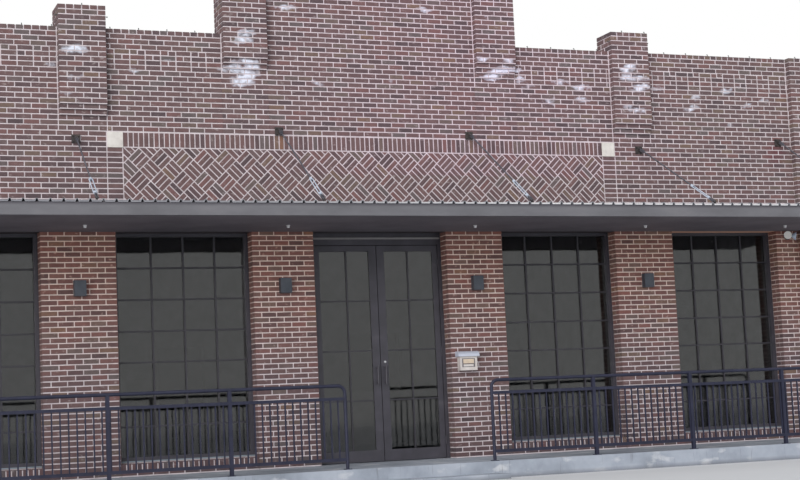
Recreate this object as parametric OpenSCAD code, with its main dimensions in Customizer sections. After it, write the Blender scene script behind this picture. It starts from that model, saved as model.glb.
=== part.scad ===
// Single-storey brick town hall with a stepped, pilastered front, a steel canopy on tie rods,
// four storefront windows, a pair of glazed entrance doors and a raised concrete terrace.
// Millimetres. +X runs along the front to the right, +Y into the building, +Z up.
// The origin is on the ground, on the centre line, in the plane of the front brickwork.

/* [Brick module] */
// Length of one brick and its joint
brick_l = 203.2; // [190:0.1:230]
// Height of one course and its joint
course_h = 67.73; // [60:0.01:76]

/* [Plan] */
// Width of the doorway between the inner piers
door_bay_w = 1925; // [1700:5:2300]
// Width of each window bay between its piers
window_bay_w = 1800; // [1500:5:2200]
// Width of the piers beside the doorway
inner_pier_w = 853; // [700:1:1100]
// Width of the piers between two windows
outer_pier_w = 955; // [750:1:1200]
// Width of the flat pier beside each corner
end_pier_w = 385; // [300:1:600]
// Width of the full-height corner piers
corner_pier_w = 610; // [450:1:800]
// How far the corner piers and pilasters stand out from the wall
pilaster_out = 100; // [60:1:150]
// Thickness of the outer walls
wall_t = 330; // [325:1:450]
// Depth of the building from the front brickwork to the rear face
building_d = 12000; // [9000:10:16000]

/* [Courses above the terrace] */
// Courses up to the heads of the openings
head_courses = 46; // [42:1:50]
// Courses up to the foot of the blocks at the panel's upper corners
block_courses = 62; // [60:1:66]
// Courses up to the foot of the left outer pilaster
outer_foot_left = 70; // [66:1:74]
// Courses up to the foot of the left inner pilaster
inner_foot_left = 79; // [74:1:83]
// Courses up to the foot of the right inner pilaster
inner_foot_right = 81; // [74:1:83]
// Courses up to the foot of the right outer pilaster
outer_foot_right = 68; // [66:1:74]
// Courses up to the top of the low parapet
wing_courses = 85; // [83:1:92]
// Courses by which the outer pilasters rise over the low parapet
outer_rise = 4; // [2:1:8]
// Courses by which the inner pilasters rise over the low parapet
inner_rise = 10; // [9:1:12]
// Courses by which the centre rises over the low parapet
centre_rise = 14; // [13:1:18]

/* [Front relief] */
// Width of a pilaster
pilaster_w = 610; // [400:1:700]
// Distance from the inner pier's outer edge out to the middle of the inner pilaster
inner_pilaster_past = 18; // [0:1:80]
// Distance from the outer pier's middle in to the middle of the outer pilaster
outer_pilaster_in = 97; // [0:1:150]
// How far the pale blocks stand out from the wall
block_out = 6; // [2:1:20]
// How deep the pale blocks are let into the wall
block_in = 90; // [60:1:120]

/* [Terrace] */
// Height of the terrace over the ground
terrace_h = 210; // [150:1:400]
// Depth of the terrace in front of the brickwork
terrace_d = 1930; // [1600:5:2600]
// Height of the entry step over the ground
entry_step_h = 65; // [50:1:130]
// Depth of the entry step in front of the terrace
entry_step_d = 350; // [280:1:450]
// Left end of the gap in the railing, measured from the centre line
gap_left = 1250; // [1000:1:1600]
// Right end of the gap in the railing, measured from the centre line
gap_right = 700; // [600:1:1600]

/* [Railing] */
// Height of the railing over the terrace
rail_h = 1027; // [900:1:1150]
// Outer diameter of the top rail and end posts
rail_dia = 42; // [34:1:50]
// Bend radius of the top rail into the end posts, to the tube's centre
rail_bend = 90; // [60:1:140]
// Side of the square intermediate posts
post_w = 44; // [38:1:60]
// Spacing of the intermediate posts
post_pitch = 1440; // [1000:5:1800]
// Distance from the terrace's edge to the railing's centre
rail_inset = 100; // [70:1:200]
// Height of the second and bottom rails
flat_rail_h = 38; // [30:1:50]
// Drop from the top of the railing to the middle of the second rail
second_rail_drop = 179; // [140:1:240]
// Height of the bottom rail's middle over the terrace
bottom_rail_z = 120; // [80:1:160]
// Side of the square pickets
picket_w = 16; // [12:1:24]
// Spacing of the pickets
picket_pitch = 95; // [85:1:130]

/* [Windows and doors] */
// Depth from the pier face back to the window and door frames
reveal_d = 203; // [120:1:210]
// Depth of the frames, front to back
frame_d = 100; // [80:1:110]
// Width of a frame member seen from the front
frame_w = 50; // [40:1:70]
// Thickness of the glass
glass_t = 8; // [6:1:12]
// Height of the brick curb under the windows
curb_h = 185; // [120:1:300]
// Fall of the curb's top from the frame to its front edge
curb_fall = 22; // [10:1:40]
// Setback of the curb from the pier face
curb_in = 12; // [5:1:60]
// Height of the door leaves
leaf_h = 2925; // [2100:5:2950]
// Thickness of the door leaves
leaf_t = 45; // [40:1:50]
// Running clearance around each door leaf
leaf_gap = 9; // [8:1:12]
// Width of the stile on the hinge side
hinge_stile_w = 78; // [60:1:110]
// Width of the stile where the leaves meet
meeting_stile_w = 108; // [80:1:130]
// Height of the top rail of a leaf
leaf_top_rail = 78; // [60:1:120]
// Height of the bottom rail of a leaf
leaf_bottom_rail = 152; // [120:1:260]
// Number of hinges on a leaf
hinge_count = 3; // [2:1:4]
// Height of a hinge
hinge_h = 114; // [90:1:130]
// Diameter of a hinge's barrel
barrel_dia = 14; // [12:1:16]
// Diameter of a hinge's pin
hinge_pin_dia = 8; // [6:1:9]
// Thickness of a hinge's tabs
tab_t = 3; // [2:0.5:3]
// Height of the middle of the pull over the terrace
pull_z = 1165; // [900:1:1400]
// Length of the pull
pull_l = 260; // [200:1:450]
// Distance from the pull's ends in to its stand-offs
standoff_in = 28; // [20:1:60]
// Diameter of the pull
pull_dia = 25; // [18:1:32]
// How far the pull's middle stands out from the leaf
pull_out = 50; // [38:1:60]

/* [Canopy] */
// Projection of the canopy from the brickwork
canopy_d = 1830; // [1400:5:2100]
// Height of the front channel's underside over the terrace
canopy_z = 3085; // [3020:5:3115]
// Height of the front channel
fascia_h = 152; // [150:1:200]
// Thickness of the channel's web and flanges
fascia_t = 10; // [8:1:14]
// Width of the channel's flanges
flange_w = 60; // [50:1:80]
// Height of the outriggers and the wall channel
outrigger_h = 120; // [90:1:124]
// Width of an outrigger
outrigger_w = 60; // [50:1:90]
// Overall height of the corrugated deck
deck_h = 38; // [30:1:50]
// Thickness of the corrugated deck's sheet
deck_sheet = 4; // [2:0.5:6]
// Spacing of the deck's ribs
rib_pitch = 152.4; // [120:0.1:200]
// Width of a rib at its top
rib_top_w = 20; // [12:1:40]
// Run of a rib's sloping side
rib_slope_w = 14; // [8:1:20]
// Thickness of the soffit boards
soffit_t = 12; // [8:1:20]
// Overhang of the deck past the front channel
deck_over = 12; // [5:1:30]

/* [Tie rods] */
// Diameter of a tie rod
rod_dia = 20; // [16:1:26]
// Length of a turnbuckle
turnbuckle_l = 465; // [350:1:560]
// Distance from the foot's fork to the turnbuckle
turnbuckle_gap = 30; // [15:1:150]
// Length of each rod inside its turnbuckle
thread_l = 70; // [50:1:120]
// Distance between the middles of a turnbuckle's two bars
turnbuckle_w = 40; // [34:1:50]
// Diameter of a turnbuckle's bars
turnbuckle_bar = 14; // [10:1:18]
// Length of the bosses at a turnbuckle's ends
boss_l = 45; // [30:1:60]
// Side of the square plates on the wall
plate_w = 110; // [90:1:140]
// Thickness of the wall and canopy plates
plate_t = 12; // [8:1:16]
// Thickness of the lugs that stand on the plates
lug_t = 14; // [10:1:18]
// Height of a lug from its plate to the pin
lug_h = 50; // [40:1:70]
// Width across the lugs
lug_w = 44; // [36:1:56]
// Length of the forks at a rod's ends
fork_l = 90; // [75:1:120]
// Thickness of each arm of a fork
fork_arm = 8; // [6:1:10]
// Diameter of the pins
pin_dia = 16; // [12:1:20]
// Distance from the corner pier's side in to the end rods
end_rod_in = 240; // [150:1:300]
// Height of the high wall plates over the terrace
rod_high_z = 4455; // [4430:5:4600]
// Height of the middle rods' wall plates over the terrace
rod_low_z = 4300; // [4100:5:4330]
// Distance from the canopy's front edge back to a rod's foot
rod_foot_in = 80; // [60:1:160]
// How far the end rods' feet stand out past their wall plates
end_foot_out = 100; // [0:1:130]
// How far the left middle rod's foot stands out past its wall plate
middle_foot_out_left = 81; // [0:1:130]
// How far the left inner rod's foot stands out past its wall plate
inner_foot_out_left = 0; // [0:1:130]
// How far the right inner rod's foot stands out past its wall plate
inner_foot_out_right = 60; // [0:1:130]
// How far the right middle rod's foot stands out past its wall plate
middle_foot_out_right = 108; // [0:1:130]

/* [Fixtures] */
// Width of a wall light
light_w = 150; // [120:1:180]
// Height of a wall light
light_h = 197; // [160:1:240]
// Depth of a wall light
light_d = 90; // [60:1:140]
// Height of the wall lights' middle over the terrace
light_z = 2385; // [2200:1:2600]
// Width of the drop box
drop_box_w = 256; // [200:1:300]
// Height of the drop box, with its hood
drop_box_h = 262; // [200:1:320]
// Depth of the drop box
drop_box_d = 95; // [60:1:140]
// Height of the drop box's hood
hood_h = 72; // [50:1:90]
// Overhang of the hood at each side and at the front
hood_over = 28; // [10:1:50]
// Border round the recessed panel
panel_border = 26; // [15:1:50]
// Distance from the doorway's edge to the drop box
drop_box_in = 85; // [60:1:300]
// Height of the drop box's underside over the terrace
drop_box_z = 1182; // [1000:1:1300]
// Diameter of the security light's lamp heads
head_dia = 120; // [100:1:140]
// Length of a lamp head
head_l = 84; // [70:1:120]
// Diameter of the security light's wall cover
cover_dia = 104; // [90:1:120]
// Distance from the corner pier's side in to the security light's middle
security_in = 190; // [120:1:260]
// Height of the security light's middle over the terrace
security_z = 3025; // [2700:1:3032]

/* [Floor and roof] */
// Roof surface over the terrace at the front wall
roof_front_z = 4850; // [4700:5:5000]
// Fall of the roof from the front wall to the rear face
roof_fall = 300; // [150:5:400]
// Thickness of the roof deck
roof_t = 200; // [150:1:300]
// Courses by which the side parapets step down, twice
side_step = 5; // [3:1:6]

/* [Rear openings] */
// Width of a rear window
rear_window_w = 1220; // [900:1:1400]
// Height of a rear window
rear_window_h = 1220; // [900:1:1500]
// Height of the rear window sills over the floor
rear_sill_z = 1100; // [900:1:1400]
// Distance from the centre line to the middle of a rear window
rear_window_x = 4200; // [2500:5:5000]
// Width of the rear doorway
rear_door_w = 965; // [850:1:1200]
// Height of the rear doorway
rear_door_h = 2135; // [2000:1:2300]
// Setback of the rear frames from the wall face
rear_reveal = 100; // [60:1:160]

/* [Hidden] */
$fn = 24;

brick_red = [0.42, 0.24, 0.22];
concrete = [0.72, 0.72, 0.70];
bronze = [0.16, 0.16, 0.18];
steel_grey = [0.42, 0.42, 0.44];
rail_blue = [0.13, 0.16, 0.22];
glass_grey = [0.35, 0.38, 0.42, 0.5];
galvanised = [0.70, 0.72, 0.74];

// How far a cut runs past the faces it opens
past = 10;

// Edges of the bays, out from the centre line
door_edge = door_bay_w / 2;
inner_pier_edge = door_edge + inner_pier_w;
inner_window_edge = inner_pier_edge + window_bay_w;
outer_pier_edge = inner_window_edge + outer_pier_w;
outer_window_edge = outer_pier_edge + window_bay_w;
end_pier_edge = outer_window_edge + end_pier_w;
half_w = end_pier_edge + corner_pier_w;
room_half_w = half_w - wall_t;

// Middles of the pilasters, the lights and the tie rods, out from the centre line
inner_pilaster_x = inner_pier_edge + inner_pilaster_past;
outer_pilaster_x = inner_window_edge + outer_pier_w / 2 - outer_pilaster_in;
rod_inner_x = door_edge + inner_pier_w / 2;
rod_middle_x = inner_window_edge + outer_pier_w / 2;
rod_end_x = end_pier_edge - end_rod_in;

// Heights over the ground
head_z = terrace_h + head_courses * course_h;
block_z = terrace_h + block_courses * course_h;
block_courses_high = 3;
block_h = block_courses_high * course_h;
wing_z = terrace_h + wing_courses * course_h;
outer_top_z = wing_z + outer_rise * course_h;
inner_top_z = wing_z + inner_rise * course_h;
centre_top_z = wing_z + centre_rise * course_h;
roof_rear_z = roof_front_z - roof_fall;

// Railing lines
railing_y = -(terrace_d - rail_inset);
rail_r = rail_dia / 2;
top_rail_z = terrace_h + rail_h - rail_r;
second_rail_z = terrace_h + rail_h - second_rail_drop;
flat_rail_w = flat_rail_h;
base_plate_rim = 20;
base_plate_w = post_w + 2 * base_plate_rim;
base_plate_t = 8;
end_post_in = 100;

// Door leaves
jamb_x = door_edge - frame_w;
hinge_x = jamb_x - leaf_gap;
hinge_y = reveal_d;
leaf_w = hinge_x - leaf_gap / 2;
leaf_z = terrace_h + leaf_gap;
leaf_top_z = leaf_z + leaf_h;
stop_w = 14;
stop_y = hinge_y + leaf_t + leaf_gap;
glass_setback = 20;

// Hinges: the axis stands in front of the gap beside the leaf
barrel_gap = 1;
pin_play = 0.5;
axis_x = hinge_x + leaf_gap / 2;
axis_y = hinge_y - barrel_dia / 2 - barrel_gap;
knuckle_h = (hinge_h - 2 * barrel_gap) / 3;
tab_y = axis_y + barrel_dia * 0.38;
tab_l = 30;
hinge_end_in = 180;
hinge_step = (leaf_h - 2 * hinge_end_in - hinge_h) / (hinge_count - 1);
hinge_zs = [for (i = [0:hinge_count - 1]) leaf_z + hinge_end_in + i * hinge_step];

// Canopy
canopy_top_z = terrace_h + canopy_z + fascia_h;
outrigger_z = canopy_top_z - outrigger_h;
foot_y = -canopy_d + rod_foot_in;
foot_plate_l = 120;
notch_gap = 8;

// A rod's two pins, in the YZ plane
high_pin_y = -plate_t - lug_h;
low_pin_z = canopy_top_z + plate_t + lug_h;
fork_gap = 1;
fork_w = lug_t + 2 * (fork_gap + fork_arm);
fork_base_l = 24;
pin_head_dia = pin_dia * 1.5;
pin_head_t = 5;
turnbuckle_from = fork_l + turnbuckle_gap;
rod_xs = [-rod_end_x, -rod_middle_x, -rod_inner_x, rod_inner_x, rod_middle_x, rod_end_x];
foot_xs = rod_xs + [
    -end_foot_out, -middle_foot_out_left, -inner_foot_out_left,
    inner_foot_out_right, middle_foot_out_right, end_foot_out
];
rods = [0:len(rod_xs) - 1];
light_xs = [-rod_middle_x, -rod_inner_x, rod_inner_x, rod_middle_x];

// Box between two corners
module box(low, high) {
    translate(low) cube(high - low);
}

// The children and their mirror image about the centre line
module both_sides() {
    children();
    mirror([1, 0, 0]) children();
}

module terrace() {
    color(concrete) box([-half_w, -terrace_d, 0], [half_w, wall_t, terrace_h]);
}

module entry_step() {
    color(concrete)
        box([-gap_left, -terrace_d - entry_step_d, 0], [gap_right, -terrace_d, entry_step_h]);
}

module floor_slab() {
    color(concrete)
        box([-room_half_w, wall_t, 0], [room_half_w, building_d - wall_t, terrace_h]);
}

// Roof deck that falls from the front wall to the rear face, drawn in the YZ plane
module roof_slab() {
    top_front = terrace_h + roof_front_z;
    top_rear = terrace_h + roof_rear_z;
    color("dimgray")
        translate([-room_half_w, 0, 0]) rotate([90, 0, 90])
            linear_extrude(2 * room_half_w)
                polygon([
                    [wall_t, top_front - roof_t], [building_d, top_rear - roof_t],
                    [building_d, top_rear], [wall_t, top_front]
                ]);
}

// Side wall whose parapet steps down twice towards the rear
module party_wall() {
    length = building_d - wall_t;
    step_1 = wall_t + length / 3;
    step_2 = wall_t + length * 2 / 3;
    drop = side_step * course_h;
    color(brick_red)
        translate([room_half_w, 0, 0]) rotate([90, 0, 90])
            linear_extrude(wall_t)
                polygon([
                    [wall_t, 0], [building_d, 0],
                    [building_d, wing_z - 2 * drop], [step_2, wing_z - 2 * drop],
                    [step_2, wing_z - drop], [step_1, wing_z - drop],
                    [step_1, wing_z], [wall_t, wing_z]
                ]);
}
module party_wall_left() { mirror([1, 0, 0]) party_wall(); }
module party_wall_right() { party_wall(); }

// The rear openings, cut through past both faces
module rear_cuts() {
    for (side = [-1, 1])
        translate([side * rear_window_x - rear_window_w / 2, building_d - wall_t - past,
                   terrace_h + rear_sill_z])
            cube([rear_window_w, wall_t + 2 * past, rear_window_h]);
    translate([-rear_door_w / 2, building_d - wall_t - past, terrace_h])
        cube([rear_door_w, wall_t + 2 * past, rear_door_h]);
}

// The rear wall carries the low edge of the roof
module rear_wall() {
    slope = roof_fall / (building_d - wall_t);
    under_rear = terrace_h + roof_rear_z - roof_t;
    color(brick_red)
        difference() {
            translate([-room_half_w, 0, 0]) rotate([90, 0, 90])
                linear_extrude(2 * room_half_w)
                    polygon([
                        [building_d - wall_t, 0], [building_d, 0], [building_d, under_rear],
                        [building_d - wall_t, under_rear + slope * wall_t]
                    ]);
            rear_cuts();
        }
}

// Wall over the openings, up to the top of the low parapet, with pockets for the two pale blocks
module upper_wall() {
    color(brick_red)
        difference() {
            box([-end_pier_edge, 0, head_z], [end_pier_edge, wall_t, wing_z]);
            panel_block_pair(past);
        }
}

// What rises over the low parapet: the stepped centre and a stub behind each outer pilaster
module stepped_parapet() {
    inner_in = inner_pilaster_x - pilaster_w / 2;
    inner_out = inner_pilaster_x + pilaster_w / 2;
    color(brick_red) {
        translate([0, wall_t, 0]) rotate([90, 0, 0]) linear_extrude(wall_t)
            polygon([
                [-inner_out, wing_z], [inner_out, wing_z], [inner_out, inner_top_z],
                [inner_in, inner_top_z], [inner_in, centre_top_z], [-inner_in, centre_top_z],
                [-inner_in, inner_top_z], [-inner_out, inner_top_z]
            ]);
        both_sides()
            box([outer_pilaster_x - pilaster_w / 2, 0, wing_z],
                [outer_pilaster_x + pilaster_w / 2, wall_t, outer_top_z]);
    }
}

// The two pale blocks, or with front over 0 the pockets that take them
module panel_block_pair(front) {
    edge = outer_pilaster_x - pilaster_w / 2;
    both_sides()
        box([edge - brick_l, -block_out - front, block_z], [edge, block_in, block_z + block_h]);
}

module panel_blocks() { color("gainsboro") panel_block_pair(0); }

module pilaster(x, foot_courses, top_z) {
    box([x - pilaster_w / 2, -pilaster_out, terrace_h + foot_courses * course_h],
        [x + pilaster_w / 2, 0, top_z]);
}

// The four start from the wall at four different heights
module pilasters() {
    color(brick_red) {
        pilaster(-outer_pilaster_x, outer_foot_left, outer_top_z);
        pilaster(-inner_pilaster_x, inner_foot_left, inner_top_z);
        pilaster(inner_pilaster_x, inner_foot_right, inner_top_z);
        pilaster(outer_pilaster_x, outer_foot_right, outer_top_z);
    }
}

// A pier between two edges, from the terrace to the heads of the openings
module pier(edge_1, edge_2) {
    color(brick_red) box([edge_1, 0, terrace_h], [edge_2, wall_t, head_z]);
}
module inner_pier_right() { pier(door_edge, inner_pier_edge); }
module inner_pier_left() { mirror([1, 0, 0]) inner_pier_right(); }
module outer_pier_right() { pier(inner_window_edge, outer_pier_edge); }
module outer_pier_left() { mirror([1, 0, 0]) outer_pier_right(); }

// Flat pier beside the last window, and the full-height corner pier
module end_pier_right() {
    pier(outer_window_edge, end_pier_edge);
    color(brick_red) box([end_pier_edge, -pilaster_out, terrace_h], [half_w, wall_t, wing_z]);
}
module end_pier_left() { mirror([1, 0, 0]) end_pier_right(); }

// Curb between two edges: its top falls towards the front edge
module curb(edge_1, edge_2) {
    back = reveal_d + frame_d;
    top = terrace_h + curb_h;
    translate([edge_1, 0, 0]) rotate([90, 0, 90]) linear_extrude(edge_2 - edge_1)
        polygon([
            [curb_in, terrace_h], [back, terrace_h], [back, top], [reveal_d, top],
            [curb_in, top - curb_fall]
        ]);
}

// The curbs under the four windows
module window_curbs() {
    color(brick_red)
        both_sides() {
            curb(inner_pier_edge, inner_window_edge);
            curb(outer_pier_edge, outer_window_edge);
        }
}

// Rectangular frame between two edges, from the curb to the head
module window_frame(edge) {
    low = terrace_h + curb_h;
    difference() {
        box([edge, reveal_d, low], [edge + window_bay_w, reveal_d + frame_d, head_z]);
        box([edge + frame_w, reveal_d - past, low + frame_w],
            [edge + window_bay_w - frame_w, reveal_d + frame_d + past, head_z - frame_w]);
    }
}
module window_frames() {
    color(bronze)
        both_sides() {
            window_frame(inner_pier_edge);
            window_frame(outer_pier_edge);
        }
}

module window_pane(edge) {
    low = terrace_h + curb_h + frame_w;
    back = reveal_d + frame_d - glass_setback;
    box([edge + frame_w, back - glass_t, low],
        [edge + window_bay_w - frame_w, back, head_z - frame_w]);
}
module window_glass() {
    color(glass_grey)
        both_sides() {
            window_pane(inner_pier_edge);
            window_pane(outer_pier_edge);
        }
}

// Barrel sections on the hinge axis, each from one of the given heights
module barrels(heights, dia) {
    for (z = heights)
        translate([axis_x, axis_y, z]) cylinder(h = knuckle_h, d = dia);
}

// Frame's half of the hinges on the right: the two outer knuckles, the pin and the tabs
module frame_hinges() {
    for (z = hinge_zs) {
        barrels([z, z + hinge_h - knuckle_h], barrel_dia);
        translate([axis_x, axis_y, z]) cylinder(h = hinge_h, d = hinge_pin_dia);
        for (tab_z = [z, z + hinge_h - knuckle_h])
            box([jamb_x - tab_t, tab_y, tab_z], [jamb_x, hinge_y + tab_l, tab_z + knuckle_h]);
    }
}

// Jambs and head, with a stop behind the leaves
module door_frame() {
    clear_top = leaf_top_z + leaf_gap;
    color(bronze) {
        difference() {
            box([-door_edge, reveal_d, terrace_h], [door_edge, reveal_d + frame_d, head_z]);
            box([-jamb_x, reveal_d - past, terrace_h - past], [jamb_x, stop_y, clear_top]);
            box([-jamb_x + stop_w, stop_y - past, terrace_h - past],
                [jamb_x - stop_w, reveal_d + frame_d + past, clear_top - stop_w]);
        }
        both_sides() frame_hinges();
    }
}

// One leaf, drawn on the right: stiles and rails round an open middle, and its hinge knuckles
module leaf() {
    glass_low = leaf_z + leaf_bottom_rail;
    glass_high = leaf_top_z - leaf_top_rail;
    middles = [for (z = hinge_zs) z + knuckle_h + barrel_gap];
    difference() {
        union() {
            box([hinge_x - leaf_w, hinge_y, leaf_z], [hinge_x, hinge_y + leaf_t, leaf_top_z]);
            barrels(middles, barrel_dia);
            for (z = middles)
                box([hinge_x, tab_y, z], [hinge_x + tab_t, hinge_y + tab_l, z + knuckle_h]);
        }
        box([hinge_x - leaf_w + meeting_stile_w, hinge_y - past, glass_low],
            [hinge_x - hinge_stile_w, hinge_y + leaf_t + past, glass_high]);
        barrels(middles, hinge_pin_dia + 2 * pin_play);
    }
}
module door_leaf_right() { color(bronze) leaf(); }
module door_leaf_left() { mirror([1, 0, 0]) door_leaf_right(); }

module leaf_glass() {
    middle_y = hinge_y + leaf_t / 2;
    box([hinge_x - leaf_w + meeting_stile_w, middle_y - glass_t / 2, leaf_z + leaf_bottom_rail],
        [hinge_x - hinge_stile_w, middle_y + glass_t / 2, leaf_top_z - leaf_top_rail]);
}
module door_glass_right() { color(glass_grey) leaf_glass(); }
module door_glass_left() { mirror([1, 0, 0]) door_glass_right(); }

// Upright bar on two stand-offs, on the meeting stile
module pull() {
    x = hinge_x - leaf_w + meeting_stile_w / 2;
    y = hinge_y - pull_out;
    low = terrace_h + pull_z - pull_l / 2;
    translate([x, y, low]) cylinder(h = pull_l, d = pull_dia);
    for (z = [low + standoff_in, low + pull_l - standoff_in])
        translate([x, y, z]) rotate([-90, 0, 0]) cylinder(h = pull_out, d = pull_dia * 0.7);
}
module door_pull_right() { color(bronze) pull(); }
module door_pull_left() { mirror([1, 0, 0]) door_pull_right(); }

// Channel section in the YZ plane, run along X between two ends. Its web stands on y = 0 and its
// flanges run to y = width, which may be negative.
module channel(end_1, end_2, height, width, thick) {
    side = sign(width);
    translate([end_1, 0, 0]) rotate([90, 0, 90]) linear_extrude(end_2 - end_1)
        polygon([
            [0, 0], [width, 0], [width, thick], [side * thick, thick],
            [side * thick, height - thick], [width, height - thick], [width, height], [0, height]
        ]);
}

// Channel on edge along the front, its flanges turned back towards the wall
module canopy_fascia() {
    color(steel_grey)
        translate([0, -canopy_d, terrace_h + canopy_z])
            channel(-half_w, half_w, fascia_h, flange_w, fascia_t);
}

// Channel bolted to the brickwork, between the corner piers
module canopy_ledger() {
    color(bronze)
        translate([0, 0, outrigger_z])
            channel(-end_pier_edge, end_pier_edge, outrigger_h, -flange_w, fascia_t);
}

// Beams from the wall channel to the front channel, one at each rod and one at each end
module canopy_outriggers() {
    color(bronze) {
        for (x = foot_xs)
            box([x - outrigger_w / 2, -canopy_d + flange_w, outrigger_z],
                [x + outrigger_w / 2, -flange_w, canopy_top_z]);
        both_sides()
            box([half_w - outrigger_w, -canopy_d + flange_w, outrigger_z],
                [half_w, -pilaster_out, canopy_top_z]);
    }
}

// Flat boarding under the beams, from the front channel's web to the wall and the corner piers
module canopy_soffit() {
    color(bronze)
        difference() {
            box([-half_w, -canopy_d + fascia_t, outrigger_z - soffit_t], [half_w, 0, outrigger_z]);
            both_sides()
                box([end_pier_edge, -pilaster_out, outrigger_z - soffit_t - past],
                    [half_w + past, past, outrigger_z + past]);
        }
}

// Corrugated sheet: narrow ribs at the rib spacing, the same thickness on the flats and the slopes
module deck_sheet_profile() {
    rise = deck_h - deck_sheet;
    top = rib_top_w / 2;
    base = top + rib_slope_w;
    inset = deck_sheet * tan(atan2(rise, rib_slope_w) / 2);
    count = floor((half_w - base) / rib_pitch);
    upper = [for (i = [-count:count], p = [[-base, deck_sheet], [-top, deck_h], [top, deck_h], [base, deck_sheet]])
        [i * rib_pitch + p[0], p[1]]];
    lower = [for (i = [count:-1:-count], p = [[base, 0], [top, rise], [-top, rise], [-base, 0]])
        [i * rib_pitch + p[0] - sign(p[0]) * inset, p[1]]];
    polygon(concat([[-half_w, 0], [-half_w, deck_sheet]], upper, [[half_w, deck_sheet], [half_w, 0]], lower));
}

// Deck over the steel, cut round the corner piers and round the rods' brackets
module canopy_deck() {
    low = canopy_top_z;
    color(galvanised)
        difference() {
            translate([0, 0, low]) rotate([90, 0, 0]) linear_extrude(canopy_d + deck_over)
                deck_sheet_profile();
            both_sides()
                box([end_pier_edge, -pilaster_out, low - past], [half_w + past, past, low + deck_h + past]);
            for (x = foot_xs)
                box([x - plate_w / 2 - notch_gap, foot_y - foot_plate_l / 2 - notch_gap, low - past],
                    [x + plate_w / 2 + notch_gap, foot_y + foot_plate_l / 2 + notch_gap, low + deck_h + past]);
        }
}

// A round bar along X, in the middle of the children's own frame
module cross_bar(length, dia) {
    translate([-length / 2, 0, 0]) rotate([0, 90, 0]) cylinder(h = length, d = dia);
}

// Where rod i is pinned, high on the wall and low on the canopy
function high_pin(i) = [
    rod_xs[i], high_pin_y, terrace_h + (abs(rod_xs[i]) == rod_middle_x ? rod_low_z : rod_high_z)
];
function low_pin(i) = [foot_xs[i], foot_y, low_pin_z];

// How far rod i is turned aside from the square line to the wall, in plan
function rod_turn(i) = atan2(low_pin(i)[0] - high_pin(i)[0], high_pin_y - foot_y);

// Plate on the wall and plate on the canopy steel, each with a round-ended lug turned in line with
// the rod. The lugs' roots run into the plates.
module bracket_pair(i) {
    high = high_pin(i);
    low = low_pin(i);
    root = plate_t / 2;
    difference() {
        union() {
            translate([high[0], 0, high[2]])
                box([-plate_w / 2, -plate_t, -plate_w / 2], [plate_w / 2, 0, plate_w / 2]);
            translate(high) rotate([0, 0, rod_turn(i)]) {
                box([-lug_t / 2, 0, -lug_w / 2], [lug_t / 2, lug_h + root, lug_w / 2]);
                cross_bar(lug_t, lug_w);
            }
        }
        translate(high) rotate([0, 0, rod_turn(i)]) cross_bar(lug_t + 2 * past, pin_dia);
    }
    difference() {
        union() {
            translate([low[0], low[1], canopy_top_z])
                box([-plate_w / 2, -foot_plate_l / 2, 0], [plate_w / 2, foot_plate_l / 2, plate_t]);
            translate(low) rotate([0, 0, rod_turn(i)]) {
                box([-lug_t / 2, -lug_w / 2, -lug_h - root], [lug_t / 2, lug_w / 2, 0]);
                cross_bar(lug_t, lug_w);
            }
        }
        translate(low) rotate([0, 0, rod_turn(i)]) cross_bar(lug_t + 2 * past, pin_dia);
    }
}
module rod_brackets() {
    color(steel_grey)
        for (i = rods) bracket_pair(i);
}

// Headed pins through the forks and lugs
module rod_pins() {
    color(steel_grey)
        for (i = rods, at = [high_pin(i), low_pin(i)])
            translate(at) rotate([0, 0, rod_turn(i)]) {
                cross_bar(fork_w, pin_dia);
                for (side = [-1, 1])
                    translate([side * (fork_w + pin_head_t) / 2, 0, 0]) cross_bar(pin_head_t, pin_head_dia);
            }
}

// Turns the rod's own line, up from z = 0 at the low pin, to where it stands. The children get
// the distance between the pins as $pins.
module on_rod(i) {
    run = high_pin(i) - low_pin(i);
    $pins = norm(run);
    translate(low_pin(i)) rotate([0, 0, rod_turn(i)])
        rotate([-atan2(norm([run[0], run[1]]), run[2]), 0, 0]) children();
}

// Fork with its pin hole at z = 0 and its base towards +z
module fork() {
    arm_w = lug_w - 8;
    difference() {
        union() {
            for (side = [-1, 1]) translate([side * (fork_w - fork_arm) / 2, 0, 0]) {
                translate([-fork_arm / 2, -arm_w / 2, 0]) cube([fork_arm, arm_w, fork_l]);
                cross_bar(fork_arm, arm_w);
            }
            translate([-fork_w / 2, -arm_w / 2, fork_l - fork_base_l]) cube([fork_w, arm_w, fork_base_l]);
        }
        cross_bar(fork_w + 2 * past, pin_dia);
    }
}

// The short rod and the long rod, threaded into the turnbuckle's two ends
module tie_rods() {
    far_end = turnbuckle_from + turnbuckle_l - thread_l;
    color(steel_grey)
        for (i = rods) on_rod(i) {
            fork();
            translate([0, 0, fork_l]) cylinder(h = turnbuckle_from + thread_l - fork_l, d = rod_dia);
            translate([0, 0, $pins]) mirror([0, 0, 1]) fork();
            translate([0, 0, far_end]) cylinder(h = $pins - fork_l - far_end, d = rod_dia);
        }
}

// Open turnbuckles: two bosses joined by two round bars
module turnbuckles() {
    bar_l = turnbuckle_l - boss_l;
    color(galvanised)
        for (i = rods) on_rod(i) translate([0, 0, turnbuckle_from]) {
            difference() {
                union() {
                    for (z = [0, turnbuckle_l - boss_l])
                        translate([0, 0, z]) cylinder(h = boss_l, d = turnbuckle_w);
                    for (side = [-1, 1])
                        translate([side * turnbuckle_w / 2, 0, boss_l / 2]) cylinder(h = bar_l, d = turnbuckle_bar);
                }
                translate([0, 0, -past]) cylinder(h = turnbuckle_l + 2 * past, d = rod_dia);
            }
        }
}

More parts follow.
